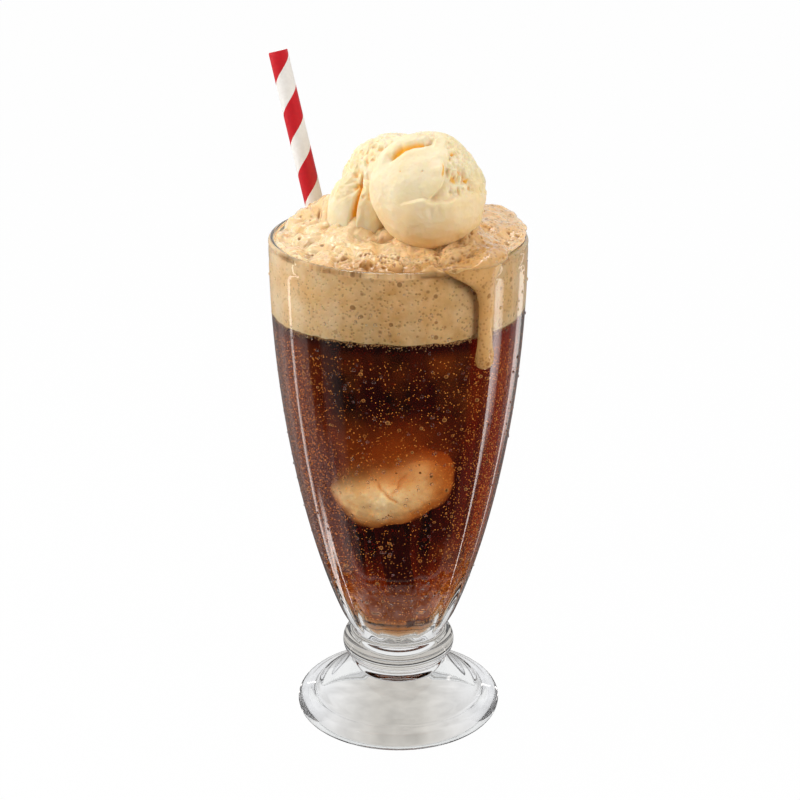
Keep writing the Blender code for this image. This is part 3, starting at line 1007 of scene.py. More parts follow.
@dataclass
class Drink:
    """The cola. It reaches just into the wall of the glass and into the foam, so that no gap shows."""

    form: GlassForm
    boundary: Boundary
    overlap: float = 0.12 * MM
    into_foam: float = 0.6 * MM
    columns: int = 160

    def build(self, look: Material) -> None:
        """Turns a profile round the axis: the floor, the wall, a tight corner and a lid under the foam.

        Args:
            look: Its material.
        """
        form = self.form
        top = self.boundary.height
        side = form.bore(form.bore_round_top, top, 90, self.overlap)
        radius = float(side[-1, 0])
        share = np.concatenate([[0.999], np.linspace(1.0, 0.03, 20)[1:]])
        lid = np.stack([radius * share, np.full(len(share), top)], axis=1)
        corner = [[radius, top - 0.04 * MM], [radius, top]]
        profile = np.concatenate([form.bore_floor(self.overlap, 16), side[1:-1], corner, lid])
        azimuth = full_turn(self.columns)
        rows = around(azimuth[None, :], profile[:, :1], profile[:, 1:])
        lift = self.boundary.rise(rows[..., 0], rows[..., 1], form.top_radius) + self.into_foam
        rows[..., 2] += lift * smooth_step(rows[..., 2], top - 12.0 * MM, top)
        start = (0.0, 0.0, form.bore_bottom - self.overlap)
        end = (0.0, 0.0, top + self.into_foam)
        add_piece("cola", loft("cola", rows, start, end), look, Slot.COLA, "cola")


@dataclass(frozen=True)
class Swell:
    """A round rise of the foam's top."""

    rise: float
    x: float
    y: float
    spread: float

    def height(self, x: Array, y: Array) -> Array:
        """Its height at a place, a bell of the distance."""
        return self.rise * bell(np.hypot(x - self.x, y - self.y), self.spread)


@dataclass(frozen=True)
class Pit:
    """A burst bubble in the foam's top, by its azimuth, its distance from the axis and its radius."""

    azimuth: float
    reach: float
    radius: float


SWELLS = (
    Swell(4.6 * MM, 31.0 * MM, 14.0 * MM, 14.0 * MM),
    Swell(6.4 * MM, 25.0 * MM, -21.0 * MM, 9.5 * MM),
    Swell(2.6 * MM, -31.0 * MM, 17.0 * MM, 10.0 * MM),
    Swell(7.0 * MM, -22.0 * MM, 13.0 * MM, 9.0 * MM),
    Swell(-3.2 * MM, 5.0 * MM, -20.0 * MM, 11.0 * MM),
    Swell(2.2 * MM, 36.0 * MM, -5.0 * MM, 9.0 * MM),
)


@dataclass
class FoamHead:
    """The foam: a head in the glass, a roll over the rim at the right, and a tongue that ends in a drip.

    A collar is given by the place of a scoop's middle and a radius, in millimetres. The spill and the roll
    are given by azimuths in degrees, and the corners of the three edge curves by a radius and a height.
    """

    form: GlassForm
    boundary: Boundary
    edge_height: float = 184.3 * MM
    flat_radius: float = 39.6
    dome_rise: float = 3.2 * MM
    overlap: float = 0.10 * MM
    columns: int = 700
    edge_points: int = 26
    small_pits: int = 420
    spill_start: float = 18.3
    spill_end: float = 51.3
    roll_end: float = 160.0
    collar_rise: float = 3.4 * MM
    collar_width: float = 5.5 * MM
    collars: tuple = ((11.4, -9.0, 12.5), (-0.9, 12.0, 14.5), (-16.4, 3.0, 7.0))
    inside: tuple = ((flat_radius, 0.0), (42.0, 0.1), (42.9, 184.6), (42.55, 182.9))
    rolled: tuple = ((flat_radius, 0.0), (44.0, 0.7), (46.0, 186.4), (43.6, 184.8))
    spilt: tuple = ((flat_radius, 0.0), (45.6, 0.2), (50.2, 187.2), (45.3, 183.4))

    def top(self, x: Array, y: Array) -> Array:
        """Height of the foam's top: a low dome with swells, and an uneven collar where it meets the scoops.

        Args:
            x: Places to the right.
            y: Places to the back.

        Returns:
            The height above the table at each place.
        """
        share = np.clip(np.hypot(x, y) / (self.form.top_radius - self.form.wall), 0.0, 1.0)
        height = self.edge_height + self.dome_rise * (1.0 - share**2)
        for swell in SWELLS:
            height = height + swell.height(x, y)
        place = np.stack(np.broadcast_arrays(x, y, 0.0), axis=-1)
        uneven = 1.0 + 1.1 * fractal_noise(place, 7.0 * MM, 2, 17)
        uneven = uneven * smooth_step(y, -27.0 * MM, -17.0 * MM)
        gap = np.full(share.shape, 1.0)
        for middle_x, middle_y, radius in self.collars:
            gap = np.minimum(gap, np.hypot(x - middle_x * MM, y - middle_y * MM) - radius * MM)
        return height + self.collar_rise * uneven * bell(np.maximum(gap, 0.0), self.collar_width)

    def edge_curve(self, azimuth: Array) -> Array:
        """The rounded edge from the top to the wall, a cubic Bezier curve for each azimuth.

        Where the foam keeps inside the glass the curve turns down to the wall. Along the roll it bulges over
        the lip and ends on it, and where the foam runs down the outside it ends past the lip. A corner's
        height is given in millimetres from the foam's top or, above 100, from the table.

        Args:
            azimuth: Azimuths in degrees.

        Returns:
            Radius and height, with shape (points, azimuths, 2).
        """
        turned = from_front(azimuth)
        first, last = self.spill_start, self.spill_end
        spill = band(turned, first - 3.0, first + 6.0, last - 4.0, last + 4.0)
        roll = band(turned, first, first + 10.0, self.roll_end - 22.0, self.roll_end)
        start = around(azimuth, self.flat_radius * MM, 0.0)
        top = self.top(start[:, 0], start[:, 1]) / MM
        share = np.linspace(0.0, 1.0, self.edge_points)[:, None]
        rest = 1.0 - share
        weights = (rest**3, 3.0 * share * rest**2, 3.0 * share**2 * rest, share**3)
        total = np.zeros((self.edge_points, len(azimuth), 2))
        for weight, *corners in zip(weights, self.inside, self.rolled, self.spilt):
            kept, bulged, run = (
                np.stack([np.full_like(top, radius), np.where(z > 100.0, z, top + z)], axis=-1)
                for radius, z in corners
            )
            point = kept + (bulged - kept) * roll[:, None]
            point = point + (run - point) * spill[:, None]
            total += weight[..., None] * point[None, :, :]
        return total * MM

    def rows(self, azimuth: Array) -> tuple:
        """Grid of places from the middle of the top outwards, down the wall and back under.

        Args:
            azimuth: Azimuths in degrees of the columns.

        Returns:
            The places, the share of relief in each row, and the share of browner foam at each place, with
            painted shade.
        """
        form = self.form
        reach = np.concatenate([np.linspace(0.8, 9.0, 6), np.linspace(9.5, self.flat_radius, 80)])
        reach = reach[:-1, None] * MM
        flat = around(azimuth[None, :], reach, 0.0)
        flat[..., 2] = self.top(flat[..., 0], flat[..., 1])
        edge = self.edge_curve(azimuth)
        edge_places = around(azimuth[None, :], edge[..., 0], edge[..., 1])
        bottom = self.boundary.height
        upper = np.linspace(181.6 * MM, bottom + 3.0 * MM, 12)
        lower = np.linspace(bottom + 2.2 * MM, bottom + 0.05 * MM, 7)
        wall_z = np.concatenate([upper, lower, [bottom]])
        wall = around(azimuth[None, :], form.inner(wall_z)[:, None] + self.overlap, wall_z[:, None])
        lift = self.boundary.rise(wall[..., 0], wall[..., 1], form.top_radius)
        uneven = 0.45 * MM * fractal_noise(wall * np.array([1.0, 1.0, 0.0]), 3.0 * MM, 3, 13)
        wall[..., 2] += (lift + uneven) * smooth_step(wall[..., 2], bottom + 5.0 * MM, bottom)
        under_share = np.array([0.999, 0.985, 0.96, 0.80, 0.60, 0.40, 0.20, 0.04])[:, None]
        under_rise = np.array([0.0, 0.3, 1.6, 1.6, 1.6, 1.6, 1.6, 1.6])[:, None] * MM
        floor_radius = float(form.inner(np.array(bottom))) + self.overlap
        under = around(azimuth[None, :], floor_radius * under_share, bottom + under_rise)
        under[:3, :, 2] += (lift + uneven)[-1]
        rows = np.concatenate([flat, edge_places, wall, under])
        mask = np.zeros(rows.shape[:2])
        mask[: len(flat)] = 1.0
        fading = np.linspace(1.0, 0.0, self.edge_points) ** 0.4
        mask[len(flat) : len(flat) + self.edge_points] = fading[:, None]
        # Painted shade: the foam against the glass is browner towards the front.
        front = bell(from_front(azimuth) - 8.0, 40.0)
        cloudy = 0.35 * fractal_noise(rows * np.array([1.0, 1.0, 0.5]), 9.0 * MM, 3, 19)
        # Painted shade: bands that follow the flutes.
        flute_shade_bands = 0.16 * np.cos(np.radians(18.0 * azimuth + 70.0))[None, :]
        deep_and_shade = np.clip((1.0 - mask) * (0.15 + 0.80 * front[None, :] + cloudy + flute_shade_bands), 0.0, 1.0)
        return rows, mask, deep_and_shade

    def pits(self) -> list:
        """Burst bubbles: the large ones that show at the front, and small ones by a seeded draw.

        Returns:
            The pits.
        """
        named = [
            Pit(-16.5, 38.6 * MM, 1.8 * MM),
            Pit(-29.0, 36.5 * MM, 1.1 * MM),
            Pit(-13.0, 40.2 * MM, 0.8 * MM),
            Pit(-22.0, 40.0 * MM, 0.9 * MM),
            Pit(28.0, 38.0 * MM, 0.9 * MM),
            Pit(32.0, 38.6 * MM, 0.9 * MM),
            Pit(36.0, 40.4 * MM, 1.3 * MM),
            Pit(33.0, 42.3 * MM, 0.8 * MM),
            Pit(41.0, 42.8 * MM, 0.9 * MM),
        ]
        draw = np.random.default_rng(11)
        for _ in range(self.small_pits):
            azimuth = float(draw.choice([draw.normal(-14.0, 20.0), draw.uniform(-180.0, 180.0)]))
            reach = float(draw.uniform(28.0, 43.2)) * MM
            named.append(Pit(azimuth, reach, float(draw.uniform(0.3, 0.95) ** 1.7) * MM))
        return named

    def sink_pits(self, rows: Array, mask: Array) -> Array:
        """Sinks each pit into the top as a bowl with a low rim.

        At distance d from a pit of radius p the bowl is -0.8 p (1 - (d / p)^2), and the rim round it is a
        narrow bump at d = 1.15 p.

        Args:
            rows: The places, which are changed.
            mask: Share of relief at each place.

        Returns:
            The share of pit at each place.
        """
        share = np.zeros(mask.shape)
        for pit in self.pits():
            centre = around(pit.azimuth, pit.reach, 0.0)
            distance = np.hypot(rows[..., 0] - centre[0], rows[..., 1] - centre[1]) / pit.radius
            bowl = np.maximum(1.0 - distance**2, 0.0) * mask
            rim = bell(distance - 1.15, 0.22) * mask
            rows[..., 2] += pit.radius * (0.16 * rim - 0.8 * bowl)
            share = np.maximum(share, bowl)
        return share

    def froth(self, rows: Array) -> tuple:
        """Raises the froth: slow lumps, which carry large bubbles in patches and fine ones between them.

        Args:
            rows: The places.

        Returns:
            The height of the froth, and the share of crease and hollow between its bubbles.
        """
        calm = smooth_step(rows[..., 0], 14.0 * MM, 30.0 * MM)
        shift = np.stack([fractal_noise(rows, 5.0 * MM, 2, seed) for seed in (24, 25, 26)], axis=-1)
        bent = rows + 2.2 * MM * shift
        blobs = bubble_domes(bent, 6.8 * MM, 4) ** 2
        lumps = 2.2 * fractal_noise(rows, 10.0 * MM, 2, 3) + 0.7 * fractal_noise(bent, 3.4 * MM, 3, 5)
        lumps = lumps + 3.4 * (blobs - 0.7) * (1.0 - 0.6 * calm)
        front = smooth_step(rows[..., 1], -16.0 * MM, -30.0 * MM)
        patch = smooth_step(fractal_noise(rows, 7.0 * MM, 2, 9), 0.25 - 0.45 * front, 0.55 - 0.45 * front)
        patch = patch * (1.0 - 0.5 * calm)
        coarse = bubble_domes(rows, 2.3 * MM, 7)
        fine = bubble_domes(rows, 1.2 * MM, 8)
        height = lumps + 1.2 * coarse * patch + 0.16 * fine * (1.0 - patch) - 0.5
        coarse_crease = smooth_step(coarse, 0.75, 0.35) * patch
        fine_crease = 0.15 * smooth_step(fine, 0.75, 0.35) * (1.0 - patch)
        hollow = smooth_step(blobs, 0.58, 0.18) * (1.0 - 0.5 * calm)
        return height * MM, np.maximum(np.maximum(coarse_crease, fine_crease), 0.8 * hollow)

    def build(self, look: Material) -> None:
        """Makes the head and the tongue.

        Args:
            look: Their material.
        """
        azimuth = full_turn(self.columns)
        rows, mask, deep_and_shade = self.rows(azimuth)
        normals = grid_normals(rows)
        normals *= np.sign(normals[40, 0, 2])
        height, crease = self.froth(rows)
        rows = rows + normals * (height * mask)[..., None]
        # Painted shade: the creases and hollows between bubbles take the pit colour.
        share = np.maximum(self.sink_pits(rows, mask), 0.55 * crease * mask)
        drift = 7.0 * MM * fractal_noise(rows, 9.0 * MM, 2, 15)
        # Painted shade: the top is browner towards the right and at the front.
        right = 0.75 * smooth_step(rows[..., 0] + drift, -4.0 * MM, 34.0 * MM)
        front = smooth_step(rows[..., 1] + drift, -29.0 * MM, -39.0 * MM)
        deep_and_shade = np.maximum(deep_and_shade, np.maximum(right, 0.95 * front) * mask)
        turned = from_front(azimuth)
        # Darker tan in a band along the front rim.
        near_rim = smooth_step(np.hypot(rows[..., 0], rows[..., 1]) + 0.6 * drift, 32.0 * MM, 41.0 * MM)
        brown = band(turned, -55.0, -10.0, 45.0, 75.0)
        brown = np.clip(0.92 * brown[None, :] * near_rim * mask, 0.0, 1.0)
        start = rows[0].mean(axis=0)
        end = rows[-1].mean(axis=0)
        mesh = loft("foam_head", rows, start, end)
        store(mesh, "pit", share)
        store(mesh, "deep_and_shade", deep_and_shade)
        store(mesh, "tan_and_shade", brown)
        add_piece("foam_head", mesh, look, Slot.FOAM, "foam")
        FoamTongue(self.form).build(look)


@dataclass
class FoamTongue:
    """Foam that runs over the rim as a fan, narrows to a stream and ends in a drop.

    At each of the heights above its end it has an azimuth in degrees, half a width and a depth. All but the
    azimuths are in millimetres.
    """

    form: GlassForm
    end_height: float = 147.5 * MM
    clearance: float = 0.05 * MM
    heights: tuple = (0.0, 0.5, 1.6, 3.4, 5.6, 9.0, 14.0, 23.5, 28.0, 31.0, 33.6, 36.0, 37.6, 38.6)
    azimuths: tuple = (40.5, 40.5, 40.5, 40.5, 40.5, 40.4, 40.4, 40.6, 40.0, 38.6, 36.8, 35.6, 35.2, 35.0)
    widths: tuple = (0.4, 1.7, 2.9, 3.55, 3.6, 3.1, 2.9, 3.2, 3.9, 5.4, 8.2, 11.2, 12.6, 12.6)
    depths: tuple = (0.5, 1.7, 2.7, 3.2, 3.2, 2.6, 2.1, 2.0, 2.2, 2.4, 2.4, 1.9, 1.1, 0.7)
    sides: int = 56

    def path(self) -> Array:
        """The line on the glass from under the head's roll, over the lip and down the outside.

        Returns:
            Points (radius, height).
        """
        form = self.form
        lip = form.lip_radius + self.clearance
        centre = (form.rim_radius - form.lip_radius, form.height - form.lip_radius)
        over = arc(centre, (lip, lip), 62.0, 10.0, 10)
        start = form.flute_top - 0.4 * MM
        z = start - np.linspace(0.0, 1.0, 90) * (start - self.end_height)
        down = np.stack([form.outer(z) + 0.6 * form.flute_depth + self.clearance, z], axis=1)
        return np.concatenate([over, down])

    def build(self, look: Material) -> None:
        """Carries a half-round section along the path. Its flat side lies on the glass.

        Args:
            look: Its material.
        """
        path = self.path()
        above = (path[:, 1] - self.end_height) / MM
        azimuth = np.interp(above, self.heights, self.azimuths)
        width = np.interp(above, self.heights, self.widths) * MM
        depth = np.interp(above, self.heights, self.depths) * MM
        run = np.gradient(path, axis=0)
        out = np.stack([-run[:, 1], run[:, 0]], axis=1)
        out /= np.linalg.norm(out, axis=1, keepdims=True)
        angle = np.radians(full_turn(self.sides))
        across = np.sign(np.cos(angle)) * np.abs(np.cos(angle)) ** 0.9
        lift = np.maximum(np.sin(angle), -0.02)
        radius = path[:, :1] + depth[:, None] * lift * out[:, :1]
        height = path[:, 1:] + depth[:, None] * lift * out[:, 1:]
        turned = azimuth[:, None] + np.degrees(width[:, None] * across / path[:, :1])
        rows = around(turned, radius, height)
        swelling = 0.45 * MM * fractal_noise(rows, 4.0 * MM, 3, 21) * np.clip(lift, 0.0, 1.0)
        normals = grid_normals(rows)
        facing_out = np.sign((normals[60] * around(turned[60], 1.0, 0.0)).sum())
        rows = rows + facing_out * normals * swelling[..., None]
        mesh = loft("foam_tongue", rows, rows[0].mean(axis=0), rows[-1].mean(axis=0))
        # Painted shade: the stream is browner on its left side.
        deep_and_shade = 0.55 - 0.45 * across + 0.4 * fractal_noise(rows, 3.0 * MM, 3, 23)
        store(mesh, "deep_and_shade", np.clip(deep_and_shade, 0.0, 1.0))
        # Darker tan on the drip, with painted shade on its left side.
        brown = 0.72 - 0.30 * across + 0.3 * fractal_noise(rows, 5.0 * MM, 2, 27)
        store(mesh, "tan_and_shade", np.clip(brown, 0.0, 1.0))
        add_piece("foam_tongue", mesh, look, Slot.FOAM)


@dataclass(frozen=True)
class Spot:
    """A place on a scoop as it is seen from the front, in millimetres to the right and up from its centre."""

    right: float
    up: float


def spots(*pairs: tuple) -> tuple:
    """Spots from pairs of millimetres to the right and up."""
    return tuple(Spot(right, up) for right, up in pairs)


@dataclass
class ScoopView:
    """Where the points of a scoop appear, seen from the front and a little above."""

    tilt: float = math.radians(15.5)

    def seen(self, places: Array) -> tuple:
        """Turns places that are measured from the scoop's centre into what is seen of them.

        Args:
            places: Places with x, y and z last.

        Returns:
            Millimetres to the right, up and towards the viewer.
        """
        up = places[..., 1] * math.sin(self.tilt) + places[..., 2] * math.cos(self.tilt)
        near = places[..., 2] * math.sin(self.tilt) - places[..., 1] * math.cos(self.tilt)
        return places[..., 0] / MM, up / MM, near / MM


def line_distance(right: Array, up: Array, line: tuple) -> tuple:
    """Distance to a line of spots, signed by its side, and the share of the way along it.

    Args:
        right: First coordinate of each point.
        up: Second coordinate of each point.
        line: Spots of the line.

    Returns:
        The distance, above 0 on the left of the line's direction, and the share from 0 to 1 along it.
    """
    best = np.full(right.shape, 1.0e3)
    side = np.ones(right.shape)
    along = np.zeros(right.shape)
    lengths = [math.hypot(b.right - a.right, b.up - a.up) for a, b in zip(line, line[1:])]
    passed = 0.0
    for a, b, length in zip(line, line[1:], lengths):
        run = (b.right - a.right, b.up - a.up)
        share = ((right - a.right) * run[0] + (up - a.up) * run[1]) / length**2
        share = np.clip(share, 0.0, 1.0)
        off_right = right - a.right - share * run[0]
        off_up = up - a.up - share * run[1]
        distance = np.hypot(off_right, off_up)
        nearer = distance < best
        best = np.where(nearer, distance, best)
        side = np.where(nearer, np.sign(run[0] * off_up - run[1] * off_right), side)
        along = np.where(nearer, (passed + share * length) / sum(lengths), along)
        passed += length
    return best * side, along


def mound(right: Array, up: Array, spot: Spot, wide: float, high: float) -> Array:
    """1 at a spot, falling off as exp(-d^2) with its own reach sideways and upwards."""
    return np.exp(-(((right - spot.right) / wide) ** 2) - ((up - spot.up) / high) ** 2)


def sphere_directions(rows: int, columns: int) -> Array:
    """Unit directions on a grid of latitudes and longitudes, without the poles.

    Args:
        rows: How many latitudes.
        columns: How many longitudes.

    Returns:
        Directions with shape (rows, columns, 3).
    """
    polar = np.linspace(0.0, np.pi, rows + 2)[1:-1, None]
    turn = np.radians(full_turn(columns))[None, :]
    shape = np.broadcast_arrays(np.sin(polar) * np.cos(turn), np.sin(polar) * np.sin(turn), np.cos(polar))
    return np.stack(shape, axis=-1)


def exit_distance(directions: Array, start: Array, centre: Array, radii: Array) -> Array:
    """How far each ray from the start runs before it leaves an ellipsoid, from the quadratic for its surface.

    Args:
        directions: Unit directions of the rays.
        start: Where the rays start.
        centre: The ellipsoid's centre.
        radii: Its three radii.

    Returns:
        The distance, or 0 where a ray misses.
    """
    reach = directions / radii
    offset = (start - centre) / radii
    a = (reach**2).sum(axis=-1)
    b = (reach * offset).sum(axis=-1)
    c = (offset**2).sum() - 1.0
    inside = b**2 - a * c
    return np.where(inside > 0.0, np.maximum((np.sqrt(np.maximum(inside, 0.0)) - b) / a, 0.0), 0.0)


@dataclass
class Scoop:
    """A scoop of ice cream, whose surface lies at a distance from its start point in each direction.

    Its start point is in metres. What shapes its relief is in millimetres, and so are its balls' radii.
    """

    name: str
    nodes: tuple
    start: Array
    rows_count: int = 230
    columns: int = 400

    def reach(self, directions: Array) -> tuple:
        """Shape of the scoop.

        Args:
            directions: Unit directions from its start point.

        Returns:
            Distance of the surface in each direction, and the share of painted shade there, in clefts and
            pits.
        """
        raise NotImplementedError

    def build(self, look: Material) -> None:
        """Makes the scoop, with the attributes "cleft", which paints shade, and "solid".

        Args:
            look: Its material.
        """
        directions = sphere_directions(self.rows_count, self.columns)
        distance, cleft = self.reach(directions)
        rows = self.start + directions * distance[..., None]
        top = self.start + np.array([0.0, 0.0, float(distance[0].mean())])
        bottom = self.start - np.array([0.0, 0.0, float(distance[-1].mean())])
        mesh = loft(self.name, rows, top, bottom)
        right, up, near = ScoopView().seen(rows - self.start)
        veiled = smooth_step(up - 0.55 * right, 2.0, 11.0)
        # Painted shade: the share of strong yellow in clefts, pits and shaded parts.
        store(mesh, "cleft", cleft)
        store(mesh, "solid", smooth_step(near, 1.0, 9.0) * (1.0 - 0.75 * veiled))
        add_piece(self.name, mesh, look, Slot.ICE_CREAM, *self.nodes)


def torn_relief(places: Array, cell: float, seed: int) -> Array:
    """Torn ice cream.

    Sharp ridges stand where a noise changes sign, on a cloudy ground, and the places are first shifted by
    another noise, which bends the ridges into flakes.

    Args:
        places: Places with x, y and z last.
        cell: Size of the flakes.
        seed: Picks the random values.

    Returns:
        Height at each place, from about -1 to 1.
    """
    shift = np.stack([fractal_noise(places, cell * 1.6, 2, seed + k) for k in (20, 21, 22)], axis=-1)
    bent = places + 0.6 * cell * shift
    ridge = 1.0 - 2.4 * np.abs(fractal_noise(bent * np.array([1.0, 1.0, 0.6]), cell, 4, seed))
    ground = fractal_noise(places, cell * 2.0, 3, seed + 10)
    return 0.65 * ridge + 0.45 * ground


@dataclass
class FrontScoop(Scoop):
    """The front scoop: a layer over its upper left, a smooth dome, a lip across and a torn right side."""

    radius: float = 20.0
    crack: tuple = spots((-14.9, 9.6), (-12.3, 12.6), (-7.2, 15.2), (-3.1, 16.5), (1.5, 17.6))
    layer_edge: tuple = spots((-13.0, -12.6), (-15.6, -8.9), (-17.8, -4.5), (-18.4, 0.6), (-17.6, 6.1))
    lip: tuple = spots(
        (-14.0, -4.2), (-7.5, -3.5), (-3.1, -2.6), (-1.6, -3.3), (0.4, -3.7), (4.3, -3.4), (9.6, -2.4)
    )
    crest: tuple = spots((-2.2, -3.0), (0.6, -0.5), (2.9, 1.8), (3.9, 4.4), (3.8, 8.4), (3.0, 11.5))
    holes: tuple = (
        (Spot(7.6, 4.4), 1.5, 1.9),
        (Spot(11.3, 4.6), 0.6, 1.2),
        (Spot(13.6, 4.2), 0.9, 1.1),
        (Spot(6.9, 12.9), 0.8, 0.5),
        (Spot(3.2, 7.0), 0.5, 2.6),
        (Spot(-10.5, 7.0), 0.25, 0.25),
        (Spot(-3.6, 7.0), 0.35, 0.35),
    )

    def wrap(self, right: Array, up: Array) -> tuple:
        """The outer layer, which ends in a cleft above the dome.

        Args:
            right: Millimetres to the right.
            up: Millimetres up.

        Returns:
            Its height in millimetres, and the share of cleft.
        """
        off, along = line_distance(right, up, self.crack)
        side, share = line_distance(right, up, self.layer_edge + self.crack)
        soft = 0.5 + 3.0 * smooth_step(share, 0.60, 0.42)
        turn = np.degrees(np.arctan2(up, -right))
        layer = smooth_step(side, -soft, soft + 0.3) * smooth_step(share, 0.0, 0.35)
        layer = layer * band(turn, -45.0, 0.0, 55.0, 100.0)
        width = 0.42 + 0.42 * np.sin(np.pi * np.clip(along * 1.3, 0.0, 1.0))
        groove = bell(off, width) * band(along, 0.0, 0.18, 0.80, 1.0)
        return 1.7 * layer - 2.3 * groove, smooth_step(groove, 0.35, 0.95)

    def lips(self, right: Array, up: Array) -> Array:
        """The lip across the front, the crest that runs up from it, and the hollows beside them.

        Args:
            right: Millimetres to the right.
            up: Millimetres up.

        Returns:
            Their height in millimetres.
        """
        off, along = line_distance(right, up, self.lip)
        below = band(off, -10.0, -0.3, -0.35, 0.35)
        above = band(off, -0.2, 0.5, 0.3, 8.0)
        relief = band(along, 0.05, 0.35, 0.85, 1.0) * (0.85 * below - 1.05 * above)
        off, along = line_distance(right, up, self.crest)
        dome = band(off, -0.25, 0.35, 0.5, 7.0)
        beside = band(off, -3.4, -0.5, -0.4, 0.3)
        relief += band(along, 0.0, 0.12, 0.75, 1.0) * (0.9 * dome - 1.2 * beside)
        relief -= 0.8 * mound(right, up, Spot(-1.5, -6.4), 3.6, 2.4)
        streaks = np.sin(2.1 * right + 0.5 * np.sin(0.9 * up)) * mound(right, up, Spot(0.5, -6.0), 6.0, 3.0)
        return relief + 0.12 * streaks

    def reach(self, directions: Array) -> tuple:
        """Shape of the scoop: a ball with the layer, the lips, a torn right side, holes and a soft grain.

        Args:
            directions: Unit directions from its start point.

        Returns:
            Distance of the surface in each direction, and the share of painted shade in its cleft, pits and
            torn side and low down, where the ice cream is also stained.
        """
        places = directions * self.radius * MM
        right, up, near = ScoopView().seen(places)
        right = right + 0.55 * fractal_noise(places, 2.6 * MM, 3, 37)
        up = up + 0.55 * fractal_noise(places, 2.6 * MM, 3, 40)
        shown = smooth_step(near, -2.0, 3.0)
        layer, cleft = self.wrap(right, up)
        relief = shown * (layer + self.lips(right, up))
        cleft = cleft * shown

        torn = smooth_step(right, 3.6, 6.5) * smooth_step(up, -3.0, 1.0)
        torn = np.maximum(torn, 0.9 * mound(right, up, Spot(-1.5, 18.0), 4.0, 2.2))
        torn = np.maximum(torn * shown, 0.45 * (1.0 - shown))
        flakes = torn_relief(places, 3.3 * MM, 31)
        relief += torn * (2.3 * flakes - 1.7)
        relief -= 1.3 * smooth_step(right, 5.0, 15.0) * smooth_step(up, -14.0, -4.0)
        cleft = np.maximum(cleft, 0.7 * torn * smooth_step(flakes, -0.1, -0.6))
        for spot, wide, high in self.holes:
            pit = mound(right, up, spot, wide, high) * shown
            relief -= 1.5 * min(wide, 1.0) * pit
            cleft = np.maximum(cleft, smooth_step(pit, 0.25, 0.9) * 0.85)
        relief += 0.55 * fractal_noise(places, 9.0 * MM, 3, 35)
        relief += 0.16 * fractal_noise(places, 2.0 * MM, 3, 36)
        relief += 0.22 * fractal_noise(places * np.array([0.35, 1.0, 1.0]), 2.4 * MM, 3, 39)
        # Painted shade low down on the scoop, where the ice cream is also stained caramel at its melting
        # edge.
        lowness = up - 0.25 * right
        stain_and_shade = 0.16 * smooth_step(lowness, 4.0, -6.0) + 0.26 * smooth_step(lowness, -9.0, -19.0)
        return (self.radius + relief) * MM, np.maximum(cleft, stain_and_shade)


@dataclass
class BackScoop(Scoop):
    """The back scoop: a ball and two lobes at the left blended into one, with a cleft and a torn top."""

    centre: tuple = (-0.9, 12.0, 198.0)
    radius: float = 19.2
    left_centre: tuple = (-16.4, 3.0, 191.0)
    left_radii: tuple = (8.0, 9.8, 13.0)
    middle_centre: tuple = (-10.2, -2.6, 190.6)
    middle_radii: tuple = (4.6, 6.5, 13.0)
    join_power: float = 7.0
    crack: tuple = spots((-5.6, 10.5), (-6.3, 6.5), (-7.6, 1.5), (-9.0, -4.0), (-9.5, -9.5))

    def reach(self, directions: Array) -> tuple:
        """Shape of the scoop.

        The ball and the lobes are joined as the seventh root of the sum of their distances' seventh powers.

        Args:
            directions: Unit directions from its start point.

        Returns:
            Distance of the surface in each direction, and the share of painted shade in its cleft, creases
            and pits.
        """
        start = self.start / MM
        ball = exit_distance(directions, start, np.array(self.centre), np.full(3, self.radius))
        left = exit_distance(directions, start, np.array(self.left_centre), np.array(self.left_radii))
        middle = exit_distance(directions, start, np.array(self.middle_centre), np.array(self.middle_radii))
        power = self.join_power
        reach = (ball**power + left**power + middle**power) ** (1.0 / power)
        places = directions * reach[..., None] * MM
        right, up, near = ScoopView().seen(places)
        off, along = line_distance(right, up, self.crack)
        width = 0.35 + 0.95 * along
        open_share = smooth_step(near, 0.0, 4.0) * smooth_step(along, 0.0, 0.15)
        groove = np.exp(-((off / width) ** 4)) * open_share
        relief = -3.0 * groove
        relief += 0.9 * band(off, 0.0, 1.2, 1.2, 4.5) * open_share
        cleft = smooth_step(groove, 0.2, 0.7)
        flakes = torn_relief(places, 4.2 * MM, 51)
        torn = 0.25 + 0.75 * smooth_step(up, -4.0, 5.0)
        relief += torn * (1.2 * flakes - 0.3)
        cleft = np.maximum(cleft, torn * smooth_step(flakes, -0.15, -0.7) * 0.8)
        pits = bubble_domes(places, 3.0 * MM, 57) * smooth_step(up, -8.0, 2.0)
        hole = smooth_step(pits, 0.90, 0.985) * smooth_step(fractal_noise(places, 7.0 * MM, 2, 58), -0.1, 0.5)
        relief -= 0.9 * hole
        cleft = np.maximum(cleft, 0.4 * hole)
        relief += 0.12 * fractal_noise(places, 2.0 * MM, 3, 56)
        return (reach + relief) * MM, cleft


